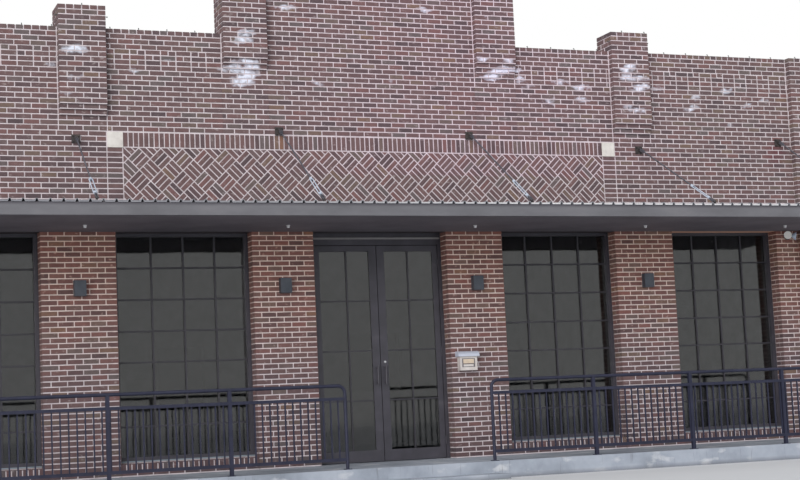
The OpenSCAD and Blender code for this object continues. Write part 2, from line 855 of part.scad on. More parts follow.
// Length of railing: bent top rail on two end posts, square posts, two flat rails and pickets.
// from is the end at the gap, dir the way it runs from there.
module railing(from, dir) {
    length = half_w - end_post_in - abs(from);
    low = terrace_h;
    straight = top_rail_z - rail_bend;
    posts = [for (p = [post_pitch:post_pitch:length - post_pitch / 4]) p];
    pickets = [for (p = [picket_pitch:picket_pitch:length - picket_pitch / 2]) p];
    translate([from, railing_y, 0]) mirror([dir < 0 ? 1 : 0, 0, 0]) {
        // top rail and end posts
        for (x = [0, length])
            translate([x, 0, low]) cylinder(h = straight - low, r = rail_r);
        translate([rail_bend, 0, top_rail_z]) rotate([0, 90, 0])
            cylinder(h = length - 2 * rail_bend, r = rail_r);
        translate([rail_bend, 0, straight]) rotate([90, 0, 0]) rotate([0, 0, 90])
            rotate_extrude(angle = 90) translate([rail_bend, 0]) circle(r = rail_r);
        translate([length - rail_bend, 0, straight]) rotate([90, 0, 0])
            rotate_extrude(angle = 90) translate([rail_bend, 0]) circle(r = rail_r);
        // square posts and the plates under every post
        for (x = posts)
            box([x - post_w / 2, -post_w / 2, low], [x + post_w / 2, post_w / 2, top_rail_z]);
        for (x = concat([0, length], posts))
            box([x - base_plate_w / 2, -base_plate_w / 2, low],
                [x + base_plate_w / 2, base_plate_w / 2, low + base_plate_t]);
        // flat rails and pickets
        for (z = [second_rail_z, low + bottom_rail_z])
            box([0, -flat_rail_w / 2, z - flat_rail_h / 2], [length, flat_rail_w / 2, z + flat_rail_h / 2]);
        for (x = pickets)
            box([x - picket_w / 2, -picket_w / 2, low + bottom_rail_z],
                [x + picket_w / 2, picket_w / 2, second_rail_z]);
    }
}
module railing_left() { color(rail_blue) railing(-gap_left, -1); }
module railing_right() { color(rail_blue) railing(gap_right, 1); }

module wall_lights() {
    low = terrace_h + light_z - light_h / 2;
    color(bronze)
        for (x = light_xs)
            box([x - light_w / 2, -light_d, low], [x + light_w / 2, 0, low + light_h]);
}

// Body with a recessed front panel, under a round-fronted hood
module drop_box() {
    left = door_edge + drop_box_in;
    low = terrace_h + drop_box_z;
    body_h = drop_box_h - hood_h;
    hood_d = drop_box_d + hood_over;
    panel_in = 6;
    color(galvanised) {
        difference() {
            box([left, -drop_box_d, low], [left + drop_box_w, 0, low + body_h]);
            box([left + panel_border, -drop_box_d - past, low + panel_border],
                [left + drop_box_w - panel_border, -drop_box_d + panel_in, low + body_h - panel_border]);
        }
        translate([left - hood_over, 0, low + body_h]) rotate([90, 0, 90])
            linear_extrude(drop_box_w + 2 * hood_over)
                intersection() {
                    translate([-hood_d, 0]) square([hood_d, hood_h]);
                    union() {
                        translate([-hood_d + hood_h, 0]) circle(r = hood_h);
                        translate([-hood_d + hood_h, 0]) square([hood_d - hood_h, hood_h]);
                    }
                }
    }
}

// Lamp head: a narrow holder that flares to a round lens, along z
module lamp_head() {
    r = head_dia / 2;
    rotate_extrude()
        polygon([
            [0, 0], [r * 0.35, 0], [r * 0.4, head_l * 0.3], [r * 0.9, head_l * 0.78], [r, head_l * 0.86],
            [r, head_l * 0.96], [r * 0.92, head_l], [0, head_l]
        ]);
}

// Round wall cover with two lamp heads turned out to the left and the right
module security_light() {
    x = end_pier_edge - security_in;
    z = terrace_h + security_z;
    cover_t = 24;
    stem_dia = 26;
    reach = 46;
    color("whitesmoke") translate([x, 0, z]) {
        rotate([90, 0, 0]) cylinder(h = cover_t, d = cover_dia);
        for (aim = [[-34, 56], [58, 14]]) translate([sign(aim[0]) * 22, -cover_t, aim[1] / 3]) {
            rotate([90, 0, 0]) cylinder(h = reach, d = stem_dia);
            translate([0, -reach + stem_dia / 2, 0]) rotate([0, 0, aim[0]]) rotate([98, 0, 0]) lamp_head();
        }
    }
}

module rear_window_frames() {
    low = terrace_h + rear_sill_z;
    front = building_d - rear_reveal;
    color(bronze)
        for (side = [-1, 1])
            translate([side * rear_window_x - rear_window_w / 2, 0, 0])
                difference() {
                    box([0, front - frame_d, low], [rear_window_w, front, low + rear_window_h]);
                    box([frame_w, front - frame_d - past, low + frame_w],
                        [rear_window_w - frame_w, front + past, low + rear_window_h - frame_w]);
                }
}

module rear_glass() {
    low = terrace_h + rear_sill_z + frame_w;
    middle = building_d - rear_reveal - frame_d / 2;
    color(glass_grey)
        for (side = [-1, 1])
            translate([side * rear_window_x - rear_window_w / 2, 0, 0])
                box([frame_w, middle - glass_t / 2, low],
                    [rear_window_w - frame_w, middle + glass_t / 2,
                     low + rear_window_h - 2 * frame_w]);
}

// Flush door with its frame, and a round knob
module rear_door() {
    front = building_d - rear_reveal;
    low = terrace_h;
    leaf_in = 18;
    knob_dia = 56;
    knob_z = 1000;
    knob_in = 130;
    rose_t = 5;
    knob_out = 62;
    color(bronze) {
        difference() {
            box([-rear_door_w / 2, front - frame_d, low], [rear_door_w / 2, front, low + rear_door_h]);
            box([-rear_door_w / 2 + frame_w, front - leaf_in, low - past],
                [rear_door_w / 2 - frame_w, front + past, low + rear_door_h - frame_w]);
        }
        translate([rear_door_w / 2 - knob_in, front - leaf_in, low + knob_z]) rotate([-90, 0, 0])
            rotate_extrude()
                polygon([
                    [0, 0], [knob_dia * 0.55, 0], [knob_dia * 0.55, rose_t], [knob_dia * 0.2, rose_t * 1.6],
                    [knob_dia * 0.2, knob_out * 0.48], [knob_dia * 0.5, knob_out * 0.68],
                    [knob_dia * 0.5, knob_out * 0.84], [knob_dia * 0.3, knob_out * 0.97], [0, knob_out]
                ]);
    }
}

terrace();
entry_step();
floor_slab();
roof_slab();
party_wall_left();
party_wall_right();
rear_wall();
upper_wall();
stepped_parapet();
end_pier_left();
end_pier_right();
outer_pier_left();
outer_pier_right();
inner_pier_left();
inner_pier_right();
pilasters();
panel_blocks();
window_curbs();
window_frames();
window_glass();
door_frame();
door_leaf_left();
door_leaf_right();
door_glass_left();
door_glass_right();
door_pull_left();
door_pull_right();
canopy_fascia();
canopy_ledger();
canopy_outriggers();
canopy_soffit();
canopy_deck();
rod_brackets();
rod_pins();
tie_rods();
turnbuckles();
railing_left();
railing_right();
wall_lights();
drop_box();
security_light();
rear_window_frames();
rear_glass();
rear_door();
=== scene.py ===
import math
import bpy
import bmesh
import numpy as np
from mathutils import Matrix


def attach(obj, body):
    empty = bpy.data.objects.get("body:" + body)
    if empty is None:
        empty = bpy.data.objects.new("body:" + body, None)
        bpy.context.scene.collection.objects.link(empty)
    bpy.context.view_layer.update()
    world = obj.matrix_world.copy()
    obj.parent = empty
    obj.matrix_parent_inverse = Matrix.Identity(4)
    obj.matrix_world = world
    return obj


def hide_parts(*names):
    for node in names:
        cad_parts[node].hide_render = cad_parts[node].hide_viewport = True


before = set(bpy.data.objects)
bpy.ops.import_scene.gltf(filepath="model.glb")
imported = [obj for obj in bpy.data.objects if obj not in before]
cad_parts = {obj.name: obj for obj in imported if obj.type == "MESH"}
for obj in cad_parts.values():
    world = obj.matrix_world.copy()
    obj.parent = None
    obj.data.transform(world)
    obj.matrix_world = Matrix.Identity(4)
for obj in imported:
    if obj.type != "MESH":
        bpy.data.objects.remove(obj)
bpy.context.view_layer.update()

# The view: a long lens across the street, at eye height over the terrace and a
# little left of the doors, turned to the right, up and slightly over to one side.
eye = (-7.66, -20.05, 0.895)
yaw, pitch, roll = math.radians(21.61), math.radians(6.10), math.radians(2.59)
ahead = np.array([math.sin(yaw) * math.cos(pitch), math.cos(yaw) * math.cos(pitch), math.sin(pitch)])
level = np.array([math.cos(yaw), -math.sin(yaw), 0.0])
below = np.cross(ahead, level)
right = math.cos(roll) * level + math.sin(roll) * below
down = -math.sin(roll) * level + math.cos(roll) * below
lens = bpy.data.cameras.new("street_view")
lens.sensor_width, lens.lens = 36.0, 71.46
lens.clip_start, lens.clip_end = 0.1, 400.0
camera = bpy.data.objects.new("street_view", lens)
camera.matrix_world = Matrix([[right[i], -down[i], -ahead[i], eye[i]] for i in range(3)] + [[0, 0, 0, 1]])
bpy.context.collection.objects.link(camera)
bpy.context.scene.camera = camera
bpy.context.scene.view_settings.view_transform = "Standard"

# The studio: a wide pale floor, a white surround, a broad soft lamp low in front that
# reaches in under the canopy, and a weaker one high on the front left.
floor_half = 70.0
ground = bpy.data.meshes.new("studio_floor")
ground.from_pydata([(-floor_half, -floor_half, 0), (floor_half, -floor_half, 0),
                    (floor_half, floor_half, 0), (-floor_half, floor_half, 0)], [], [(0, 1, 2, 3)])
studio_floor = bpy.data.objects.new("studio_floor", ground)
bpy.context.collection.objects.link(studio_floor)
floor_finish = bpy.data.materials.new("studio_floor")
floor_finish.use_nodes = True
tree = floor_finish.node_tree
shell = tree.nodes["Principled BSDF"]
shell.inputs["Roughness"].default_value = 0.9
cloud = tree.nodes.new("ShaderNodeTexNoise")
cloud.inputs["Scale"].default_value = 0.6
spot = tree.nodes.new("ShaderNodeTexCoord")
tree.links.new(spot.outputs["Object"], cloud.inputs["Vector"])
shade = tree.nodes.new("ShaderNodeValToRGB")
shade.color_ramp.elements[0].color = (0.66, 0.67, 0.69, 1)
shade.color_ramp.elements[1].color = (0.72, 0.72, 0.73, 1)
tree.links.new(cloud.outputs["Fac"], shade.inputs["Fac"])
tree.links.new(shade.outputs["Color"], shell.inputs["Base Color"])
studio_floor.data.materials.append(floor_finish)

surround = bpy.data.worlds.new("surround")
surround.use_nodes = True
tree = surround.node_tree
glow = tree.nodes["Background"]
glow.inputs["Color"].default_value = (0.90, 0.95, 1.0, 1)
glow.inputs["Strength"].default_value = 0.50
white = tree.nodes.new("ShaderNodeBackground")
white.inputs["Color"].default_value = (1, 1, 1, 1)
white.inputs["Strength"].default_value = 1.0
path = tree.nodes.new("ShaderNodeLightPath")
seen = tree.nodes.new("ShaderNodeMath")
seen.operation = "MAXIMUM"
seen_through = tree.nodes.new("ShaderNodeMath")
seen_through.operation = "MAXIMUM"
tree.links.new(path.outputs["Is Camera Ray"], seen.inputs[0])
tree.links.new(path.outputs["Is Glossy Ray"], seen.inputs[1])
tree.links.new(seen.outputs[0], seen_through.inputs[0])
tree.links.new(path.outputs["Is Transmission Ray"], seen_through.inputs[1])
either = tree.nodes.new("ShaderNodeMixShader")
tree.links.new(seen_through.outputs[0], either.inputs["Fac"])
tree.links.new(glow.outputs[0], either.inputs[1])
tree.links.new(white.outputs[0], either.inputs[2])
tree.links.new(either.outputs[0], tree.nodes["World Output"].inputs["Surface"])
bpy.context.scene.world = surround

for name, energy, angle, colour, turn in (("high_lamp", 0.5, 40, (0.97, 0.98, 1.0), (45, -38)), ("low_lamp", 3.1, 56, (1.0, 0.96, 0.95), (78, -40))):
    lamp = bpy.data.lights.new(name, "SUN")
    lamp.energy, lamp.angle, lamp.color = energy, math.radians(angle), colour
    soft_lamp = bpy.data.objects.new(name, lamp)
    soft_lamp.rotation_euler = (math.radians(turn[0]), 0, math.radians(turn[1]))
    bpy.context.collection.objects.link(soft_lamp)

# The terrace and its entry step: poured concrete, once painted, with a trowelled top
# and a formed front face that is worn, stained along its foot and lighter at the step.
terrace_top = 0.210


def mottled(name, tones, scale, rough, bump=0.1, grain=160.0, metal=0.0, stretch=(1, 1, 1), detail=6.0):
    """A finish on the object's own coordinates. A noise, stretched along the axes by
    `stretch`, runs through the colours `tones`, each with its place from 0 to 1; a finer
    noise moves the roughness between the two values of `rough` and gives the bump."""
    finish = bpy.data.materials.new(name)
    finish.use_nodes = True
    tree = finish.node_tree
    nodes, join = tree.nodes, tree.links.new
    skin = nodes["Principled BSDF"]
    place = nodes.new("ShaderNodeTexCoord")
    spread = nodes.new("ShaderNodeMapping")
    spread.inputs["Scale"].default_value = stretch
    join(place.outputs["Object"], spread.inputs["Vector"])
    patch = nodes.new("ShaderNodeTexNoise")
    patch.name = "patch"
    patch.inputs["Scale"].default_value = scale
    patch.inputs["Detail"].default_value = detail
    patch.inputs["Roughness"].default_value = 0.6
    join(spread.outputs["Vector"], patch.inputs["Vector"])
    colour = nodes.new("ShaderNodeValToRGB")
    colour.name = "colour"
    ramp = colour.color_ramp
    while len(ramp.elements) < len(tones):
        ramp.elements.new(0.5)
    for stop, (where, tone) in zip(ramp.elements, tones):
        stop.position = where
        stop.color = (*tone, 1)
    join(patch.outputs["Fac"], colour.inputs["Fac"])
    join(colour.outputs["Color"], skin.inputs["Base Color"])
    fine = nodes.new("ShaderNodeTexNoise")
    fine.name = "fine"
    fine.inputs["Scale"].default_value = grain
    fine.inputs["Detail"].default_value = 3.0
    join(place.outputs["Object"], fine.inputs["Vector"])
    dull = nodes.new("ShaderNodeMapRange")
    dull.name = "dull"
    dull.inputs["To Min"].default_value, dull.inputs["To Max"].default_value = rough
    join(fine.outputs["Fac"], dull.inputs["Value"])
    join(dull.outputs["Result"], skin.inputs["Roughness"])
    relief = nodes.new("ShaderNodeBump")
    relief.name = "relief"
    relief.inputs["Strength"].default_value = bump
    relief.inputs["Distance"].default_value = 0.004
    join(fine.outputs["Fac"], relief.inputs["Height"])
    join(relief.outputs["Normal"], skin.inputs["Normal"])
    skin.inputs["Metallic"].default_value = metal
    return finish


def over(finish, mask, tone, low=0.0, high=1.0, how="MIX"):
    """Lays a second colour over what the finish has, where the socket `mask` rises from
    low to high: colour = first + (second - first) x risen share. With how="MULTIPLY" the
    second colour tints the first instead of covering it."""
    tree = finish.node_tree
    skin = tree.nodes["Principled BSDF"]
    under = skin.inputs["Base Color"].links[0].from_socket
    rise = tree.nodes.new("ShaderNodeMapRange")
    rise.inputs["From Min"].default_value, rise.inputs["From Max"].default_value = low, high
    tree.links.new(mask, rise.inputs["Value"])
    blend = tree.nodes.new("ShaderNodeMix")
    blend.data_type, blend.blend_type = "RGBA", how
    tree.links.new(rise.outputs["Result"], blend.inputs["Factor"])
    tree.links.new(under, blend.inputs[6])
    blend.inputs[7].default_value = (*tone, 1)
    tree.links.new(blend.outputs[2], skin.inputs["Base Color"])
    return rise


def along(finish, axis):
    """The socket with the object's own coordinate along x, y or z."""
    tree = finish.node_tree
    place = tree.nodes.new("ShaderNodeTexCoord")
    split = tree.nodes.new("ShaderNodeSeparateXYZ")
    tree.links.new(place.outputs["Object"], split.inputs[0])
    return split.outputs[axis]


def noise_on(finish, scale, stretch=(1, 1, 1), detail=4.0):
    """The socket with one more noise on the object's own coordinates."""
    tree = finish.node_tree
    place = tree.nodes.new("ShaderNodeTexCoord")
    spread = tree.nodes.new("ShaderNodeMapping")
    spread.inputs["Scale"].default_value = stretch
    tree.links.new(place.outputs["Object"], spread.inputs["Vector"])
    speck = tree.nodes.new("ShaderNodeTexNoise")
    speck.inputs["Scale"].default_value = scale
    speck.inputs["Detail"].default_value = detail
    tree.links.new(spread.outputs["Vector"], speck.inputs["Vector"])
    return speck.outputs["Fac"]


def sums(finish, how, first, second):
    """The socket of one sum: first and second are sockets or plain numbers."""
    tree = finish.node_tree
    sum_node = tree.nodes.new("ShaderNodeMath")
    sum_node.operation = how
    for place, value in ((0, first), (1, second)):
        if isinstance(value, (int, float)):
            sum_node.inputs[place].default_value = value
        else:
            tree.links.new(value, sum_node.inputs[place])
    return sum_node.outputs[0]


def dress(finish, *names):
    """Puts a finish on CAD nodes, in their objects' own material slots."""
    for name in names:
        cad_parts[name].material_slots[0].material = finish


concrete = mottled("concrete", [(0.25, (0.19, 0.215, 0.25)), (0.5, (0.31, 0.345, 0.40)), (0.75, (0.42, 0.455, 0.51))],
                   1.7, (0.75, 0.95), bump=0.35, grain=90)
over(concrete, noise_on(concrete, 2.6, (1, 1, 2), 8.0), (0.50, 0.52, 0.55), 0.56, 0.66)
over(concrete, noise_on(concrete, 5.0, (6, 6, 0.6)), (0.13, 0.13, 0.135), 0.62, 0.85)
over(concrete, along(concrete, "Z"), (0.12, 0.125, 0.14), 0.06, -0.02)
dress(concrete, "terrace", "entry_step", "floor_slab")

# The brickwork: pressed clay facing bricks, 189 x 53 mm on the face, laid in running
# bond with pale raked joints. The core of each wall shows only as that mortar.
brick_long, course, mortar_gap = 0.2032, 0.0677333, 0.0145
joint_depth = 0.006
end_pier_edge, half_width, back_face = 6.7555, 7.3655, 12.0
window_edges = (1.8155, 3.6155, 4.5705, 6.3705)
door_edge, wall_thick, proud = 0.9625, 0.330, 0.100
panel_half, block_edge = 3.4878, 3.691
wing_top, outer_top, inner_top, centre_top = 85, 89, 95, 99
pilasters = ((-3.996, 70, outer_top, (0.070, 0.035)), (-1.8335, 80, inner_top, (0.065, 0.032)),
             (1.8335, 81, inner_top, (0.070, 0.045, 0.022)), (3.996, 69, outer_top, (0.065, 0.032)))


def laid(left, right, first, last, joint, front=0.0, depth=0.02, corners=(0, 0), taken=(0, 0), bond=0.5):
    """Rows first to last - 1 of a running bond between two edges of a wall face. Brick n of
    row k runs from joint + (n + bond x k's oddness) x length to one length further, cut at
    the edges; a joint within 50 mm of an edge moves to it. At an exposed corner the brick is
    as deep as its own end or side. Columns: middle u, middle v, half length, half height,
    turn, back, front."""
    row = np.arange(first, last)[:, None]
    number = np.arange(math.floor((left - joint) / brick_long) - 1, math.ceil((right - joint) / brick_long) + 2)
    start = joint + (number[None, :] + bond * (row % 2)) * brick_long
    stop = start + brick_long
    row = row + 0 * number[None, :]

    def snapped(place):
        place = np.where(abs(place - left) < 0.05, left, place)
        return np.clip(np.where(abs(place - right) < 0.05, right, place), left, right)
    start, stop, row = snapped(start).ravel(), snapped(stop).ravel(), row.ravel()
    keep = stop - start > 0.01
    keep &= ~((start <= left) & bool(taken[0])) & ~((stop >= right) & bool(taken[1]))
    start, stop, row = start[keep], stop[keep], row[keep]
    exposed = ((start <= left) & bool(corners[0])) | ((stop >= right) & bool(corners[1]))
    low_end = start + mortar_gap / 2 * (start > left)
    high_end = stop - mortar_gap / 2 * (stop < right)
    deep = np.where(exposed, np.where(stop - start > 0.15, 0.1016 - mortar_gap / 2, 0.2032 - mortar_gap / 2), depth)
    foot = terrace_top + row * course + mortar_gap
    head = terrace_top + (row + 1) * course
    return np.column_stack([(low_end + high_end) / 2, (foot + head) / 2, (high_end - low_end) / 2,
                            (head - foot) / 2, 0 * foot, front - deep, front + 0 * foot])


def standing(left, right, foot, head, pitch, front=0.0, depth=0.02):
    """One row of bricks side by side between two edges, each pitch wide less the joint:
    soldiers where the row is high, headers where it is one course."""
    count = max(1, round((right - left) / pitch))
    edge = np.linspace(left, right, count + 1)
    low_end, high_end = edge[:-1] + mortar_gap / 2, edge[1:] - mortar_gap / 2
    low_end[0], high_end[-1] = left, right
    one = np.ones(count)
    return np.column_stack([(low_end + high_end) / 2, one * (foot + head) / 2, (high_end - low_end) / 2,
                            one * (head - foot) / 2, 0 * one, one * (front - depth), one * front])


def row_at(number):
    """Height over the ground of the underside of a course."""
    return terrace_top + number * course


def bricks(name, rows, along_wall, outward, seed, corner=0.003, edge_tones=None, bow=0.0):
    """Each brick is three rings of four points: its back, the start of its worn edge, and
    its face, set in by the worn edge. A point is u x along + v x up + w x outward, and u and
    v are first turned about the brick's middle. A hundredth of a turn, a millimetre in or
    out, and one tone for each brick come from a seeded draw."""
    rows = np.vstack(rows)
    draw = np.random.default_rng(seed)
    count = len(rows)
    middle_u, middle_v, half_u, half_v, turn, back, front = rows.T
    sign_u = np.array([-1, 1, 1, -1])
    sign_v = np.array([-1, -1, 1, 1])
    rings = 3 if corner else 2
    inset = np.array([0, 0, corner])[:rings]
    u = sign_u[None, None, :] * (half_u[:, None, None] - inset[None, :, None])
    v = sign_v[None, None, :] * (half_v[:, None, None] - inset[None, :, None])
    front = front - draw.uniform(0, 0.0016, count)
    w = np.stack([back, front - corner, front][:rings], 1)[:, :, None] + 0 * u
    if not corner:
        w[:, 1] = front[:, None]
    angle = turn + draw.normal(0, 0.003, count) * (half_u < 0.2)
    cos, sin = np.cos(angle)[:, None, None], np.sin(angle)[:, None, None]
    u, v = (middle_u[:, None, None] + u * cos - v * sin), (middle_v[:, None, None] + u * sin + v * cos)
    across = np.array(along_wall, float)
    out = np.array(outward[:3], float)
    points = u[..., None] * across + v[..., None] * np.array([0, 0, 1.0]) + w[..., None] * out
    points = points.reshape(-1, 3) + np.array(outward[3:], float)
    around = np.arange(4)
    nearest = np.roll(around, -1)
    walls = [np.stack([around, nearest, nearest + 4, around + 4], 1) + 4 * ring for ring in range(rings - 1)]
    faces = np.vstack([[[3, 2, 1, 0]]] + walls + [[[0, 1, 2, 3]] + np.array(4 * (rings - 1))])
    faces = (faces[None] + 4 * rings * np.arange(count)[:, None, None]).reshape(-1, 4)
    mesh = bpy.data.meshes.new(name)
    mesh.from_pydata(points.tolist(), [], faces.tolist())
    tones = draw.uniform(0, 0.975, count)
    if edge_tones is not None:
        tones = edge_tones(rows, tones)
    tone = mesh.attributes.new("tone", "FLOAT", "POINT")
    tone.data.foreach_set("value", np.repeat(tones, 4 * rings).astype(np.float32))
    bloom = mesh.attributes.new("bloom", "FLOAT", "POINT")
    bloom.data.foreach_set("value", salt(points).astype(np.float32))
    rust = mesh.attributes.new("rust", "FLOAT", "POINT")
    rust.data.foreach_set("value", np.exp(-((points[:, 0] - 6.47) / 0.16) ** 2 - ((points[:, 2] - 4.50) / 0.22) ** 2).astype(np.float32))
    wall = bpy.data.objects.new(name, mesh)
    bpy.context.collection.objects.link(wall)
    mesh.materials.append(brick_face)
    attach(wall, "building")
    return wall


# Lime that rain has drawn out of the parapet: x and height over the terrace of each
# patch's middle, its reach both ways, and how white it is.
lime = np.array([(-1.83, 5.375, .22, .055, .94), (-1.80, 5.30, .18, .055, .90), (-1.77, 5.23, .17, .055, .90), (-2.03, 5.28, .17, .060, .85),
                 (-1.86, 5.16, .18, .055, .90), (-1.87, 5.09, .18, .050, .92), (1.77, 5.30, .18, .055, .95), (1.88, 5.38, .18, .055, .85),
                 (1.99, 5.42, .15, .045, .80), (2.19, 5.42, .11, .045, .80), (2.23, 5.31, .11, .045, .75), (-4.10, 5.45, .18, .070, .94),
                 (-1.90, 5.66, .16, .060, .95), (-1.83, 5.76, .15, .060, .80), (4.02, 5.54, .12, .070, .88), (1.62, 5.55, .11, .060, .80),
                 (3.22, 5.20, .16, .060, .85), (-.84, 5.13, .14, .055, .72), (4.18, 5.23, .15, .055, .80), (2.01, 5.53, .10, .050, .80),
                 (3.92, 5.37, .16, .070, .75), (3.94, 5.47, .15, .060, .85), (4.07, 5.19, .16, .060, .85), (-1.21, 6.16, .16, .060, .85),
                 (5.05, 4.95, .13, .070, .85), (4.07, 4.87, .20, .060, .70), (4.49, 5.24, .13, .060, .85), (3.21, 5.03, .14, .060, .80),
                 (6.33, 5.08, .11, .080, .66), (-3.31, 5.22, .10, .055, .66), (2.71, 4.98, .17, .080, .60), (2.90, 5.27, .16, .060, .78),
                 (5.68, 5.22, .14, .070, .75), (.80, 6.23, .15, .060, .75), (6.02, 5.01, .15, .060, .70), (-4.10, 5.07, .18, .080, .56),
                 (-4.22, 4.88, .13, .080, .52), (5.11, 5.11, .12, .120, .64), (1.70, 6.19, .09, .055, .62), (3.88, 4.92, .22, .070, .52),
                 (4.17, 5.35, .16, .055, .78), (-6.3, 5.30, .30, .100, .42), (-2.9, 5.36, .50, .060, .38), (.2, 5.20, .70, .100, .34),
                 (5.69, 4.72, .10, .140, .50), (-4.36, 5.26, .09, .060, .60), (2.30, 5.20, .30, .100, .44), (5.9, 5.30, .40, .060, .40),
                 (-5.3, 5.30, .30, .050, .40)])


def salt(points):
    """How white the lime lies at each point: the strongest of the patches, each falling off
    as the bell of its scaled distance; none on faces that don't look to the street."""
    away_x = (points[:, None, 0] - lime[None, :, 0]) / lime[None, :, 2]
    away_z = (points[:, None, 2] - lime[None, :, 1] - terrace_top) / lime[None, :, 3]
    return (lime[:, 4] * np.exp(-away_x ** 2 - away_z ** 2)).max(1) * (points[:, 1] < 0.1)


brick_face = mottled("brick_face", [(0.3, (0.5, 0.5, 0.5)), (0.7, (1, 1, 1))], 9.0, (0.82, 0.97), bump=0.35, grain=240)
tree = brick_face.node_tree
tone_read = tree.nodes.new("ShaderNodeAttribute")
tone_read.attribute_name = "tone"
clay = tree.nodes.new("ShaderNodeValToRGB")
clay_tones = [(0.0, (0.092, 0.066, 0.072)), (0.16, (0.128, 0.082, 0.086)), (0.40, (0.158, 0.095, 0.095)), (0.60, (0.148, 0.097, 0.096)),
              (0.76, (0.186, 0.098, 0.095)), (0.88, (0.132, 0.107, 0.108)), (0.97, (0.175, 0.118, 0.094)), (1.0, (0.27, 0.125, 0.075))]
while len(clay.color_ramp.elements) < len(clay_tones):
    clay.color_ramp.elements.new(0.5)
for stop, (where, tone) in zip(clay.color_ramp.elements, clay_tones):
    stop.position, stop.color = where, (*tone, 1)
tree.links.new(tone_read.outputs["Fac"], clay.inputs["Fac"])
burnt = tree.nodes.new("ShaderNodeMix")
burnt.data_type, burnt.blend_type = "RGBA", "MULTIPLY"
burnt.inputs["Factor"].default_value = 0.55
tree.links.new(clay.outputs["Color"], burnt.inputs[6])
tree.links.new(tree.nodes["colour"].outputs["Color"], burnt.inputs[7])
tree.links.new(burnt.outputs[2], tree.nodes["Principled BSDF"].inputs["Base Color"])
over(brick_face, noise_on(brick_face, 55.0, (1, 1, 1), 3.0), (0.07, 0.045, 0.045), 0.60, 0.85)
over(brick_face, noise_on(brick_face, 14.0, (1, 1, 1.6), 8.0), (0.46, 0.41, 0.40), 0.60, 0.90)
lime_read = tree.nodes.new("ShaderNodeAttribute")
lime_read.attribute_name = "bloom"
ragged = tree.nodes.new("ShaderNodeMath")
ragged.operation = "MULTIPLY"
tree.links.new(lime_read.outputs["Fac"], ragged.inputs[0])
tree.links.new(noise_on(brick_face, 13.0, (1, 1, 1.3), 10.0), ragged.inputs[1])
over(brick_face, ragged.outputs[0], (0.70, 0.74, 0.84), 0.17, 0.38)
rust_read = tree.nodes.new("ShaderNodeAttribute")
rust_read.attribute_name = "rust"
over(brick_face, rust_read.outputs["Fac"], (0.80, 0.42, 0.52), 0.2, 1.0, "MULTIPLY")

mortar = mottled("mortar", [(0.3, (0.46, 0.41, 0.42)), (0.55, (0.60, 0.54, 0.56)), (0.75, (0.68, 0.63, 0.65))], 5.0, (0.9, 1.0), bump=0.5, grain=220)
# Under the canopy, on the front, brick and mortar grow warmer and brighter upwards to 3.33 m: painted warm bounce light
# from the street, and partly bricks that are redder where sheltered.
for finish, warm in ((brick_face, (1.82, 1.32, 1.05)), (mortar, (1.44, 1.27, 1.04))):
    height, depth = along(finish, "Z"), along(finish, "Y")
    from_centre = sums(finish, "ABSOLUTE", along(finish, "X"), 0.0)
    sheltered_and_bounce_lit = sums(finish, "MULTIPLY", sums(finish, "MULTIPLY", height, sums(finish, "LESS_THAN", height, 3.33)), sums(finish, "LESS_THAN", depth, 0.31))
    over(finish, sums(finish, "MULTIPLY", sheltered_and_bounce_lit, sums(finish, "LESS_THAN", from_centre, 7.358)), warm, 1.4, 3.2, "MULTIPLY")
    # On the upper front, above 4.1 m and round x = 1.6 m, brick and mortar are painted lighter and pinker: a painted
    # glow of lens flare.
    outside = sums(finish, "MULTIPLY", sums(finish, "ADD", sums(finish, "LESS_THAN", height, 4.1), sums(finish, "GREATER_THAN", depth, 0.2)), 4.0)
    from_middle = sums(finish, "ABSOLUTE", sums(finish, "SUBTRACT", along(finish, "X"), 1.6), 0.0)
    over(finish, sums(finish, "ADD", from_middle, outside), (1.10, 1.03, 1.09), 3.9, 0.6, "MULTIPLY")
over(brick_face, along(brick_face, "Z"), (0.80, 0.80, 0.84), 0.62, 0.30, "MULTIPLY")


def blocks(name, boxes, finish, body="building", worn=0.0):
    """Closed boxes in one mesh, from rows of x0, x1, y0, y1, z0, z1: point i of a box takes
    its low or high side from the bits of i."""
    boxes = np.array(boxes, float).reshape(-1, 6)
    bit = np.array([[0, 0, 0], [1, 0, 0], [1, 1, 0], [0, 1, 0], [0, 0, 1], [1, 0, 1], [1, 1, 1], [0, 1, 1]])
    points = np.stack([boxes[:, 0:2][:, bit[:, 0]], boxes[:, 2:4][:, bit[:, 1]], boxes[:, 4:6][:, bit[:, 2]]], -1).reshape(-1, 3)
    side = np.array([[0, 3, 2, 1], [4, 5, 6, 7], [0, 1, 5, 4], [1, 2, 6, 5], [2, 3, 7, 6], [3, 0, 4, 7]])
    faces = (side[None] + 8 * np.arange(len(boxes))[:, None, None]).reshape(-1, 4)
    mesh = bpy.data.meshes.new(name)
    mesh.from_pydata(points.tolist(), [], faces.tolist())
    mesh.materials.append(finish)
    made = bpy.data.objects.new(name, mesh)
    bpy.context.collection.objects.link(made)
    if worn:
        edge = made.modifiers.new("worn_edge", "BEVEL")
        edge.width, edge.segments = worn, 2
    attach(made, body)
    return made


def both_ways(x0, x1, *rest):
    """A box and its twin on the other side of the centre line."""
    return [(x0, x1, *rest), (-x1, -x0, *rest)]


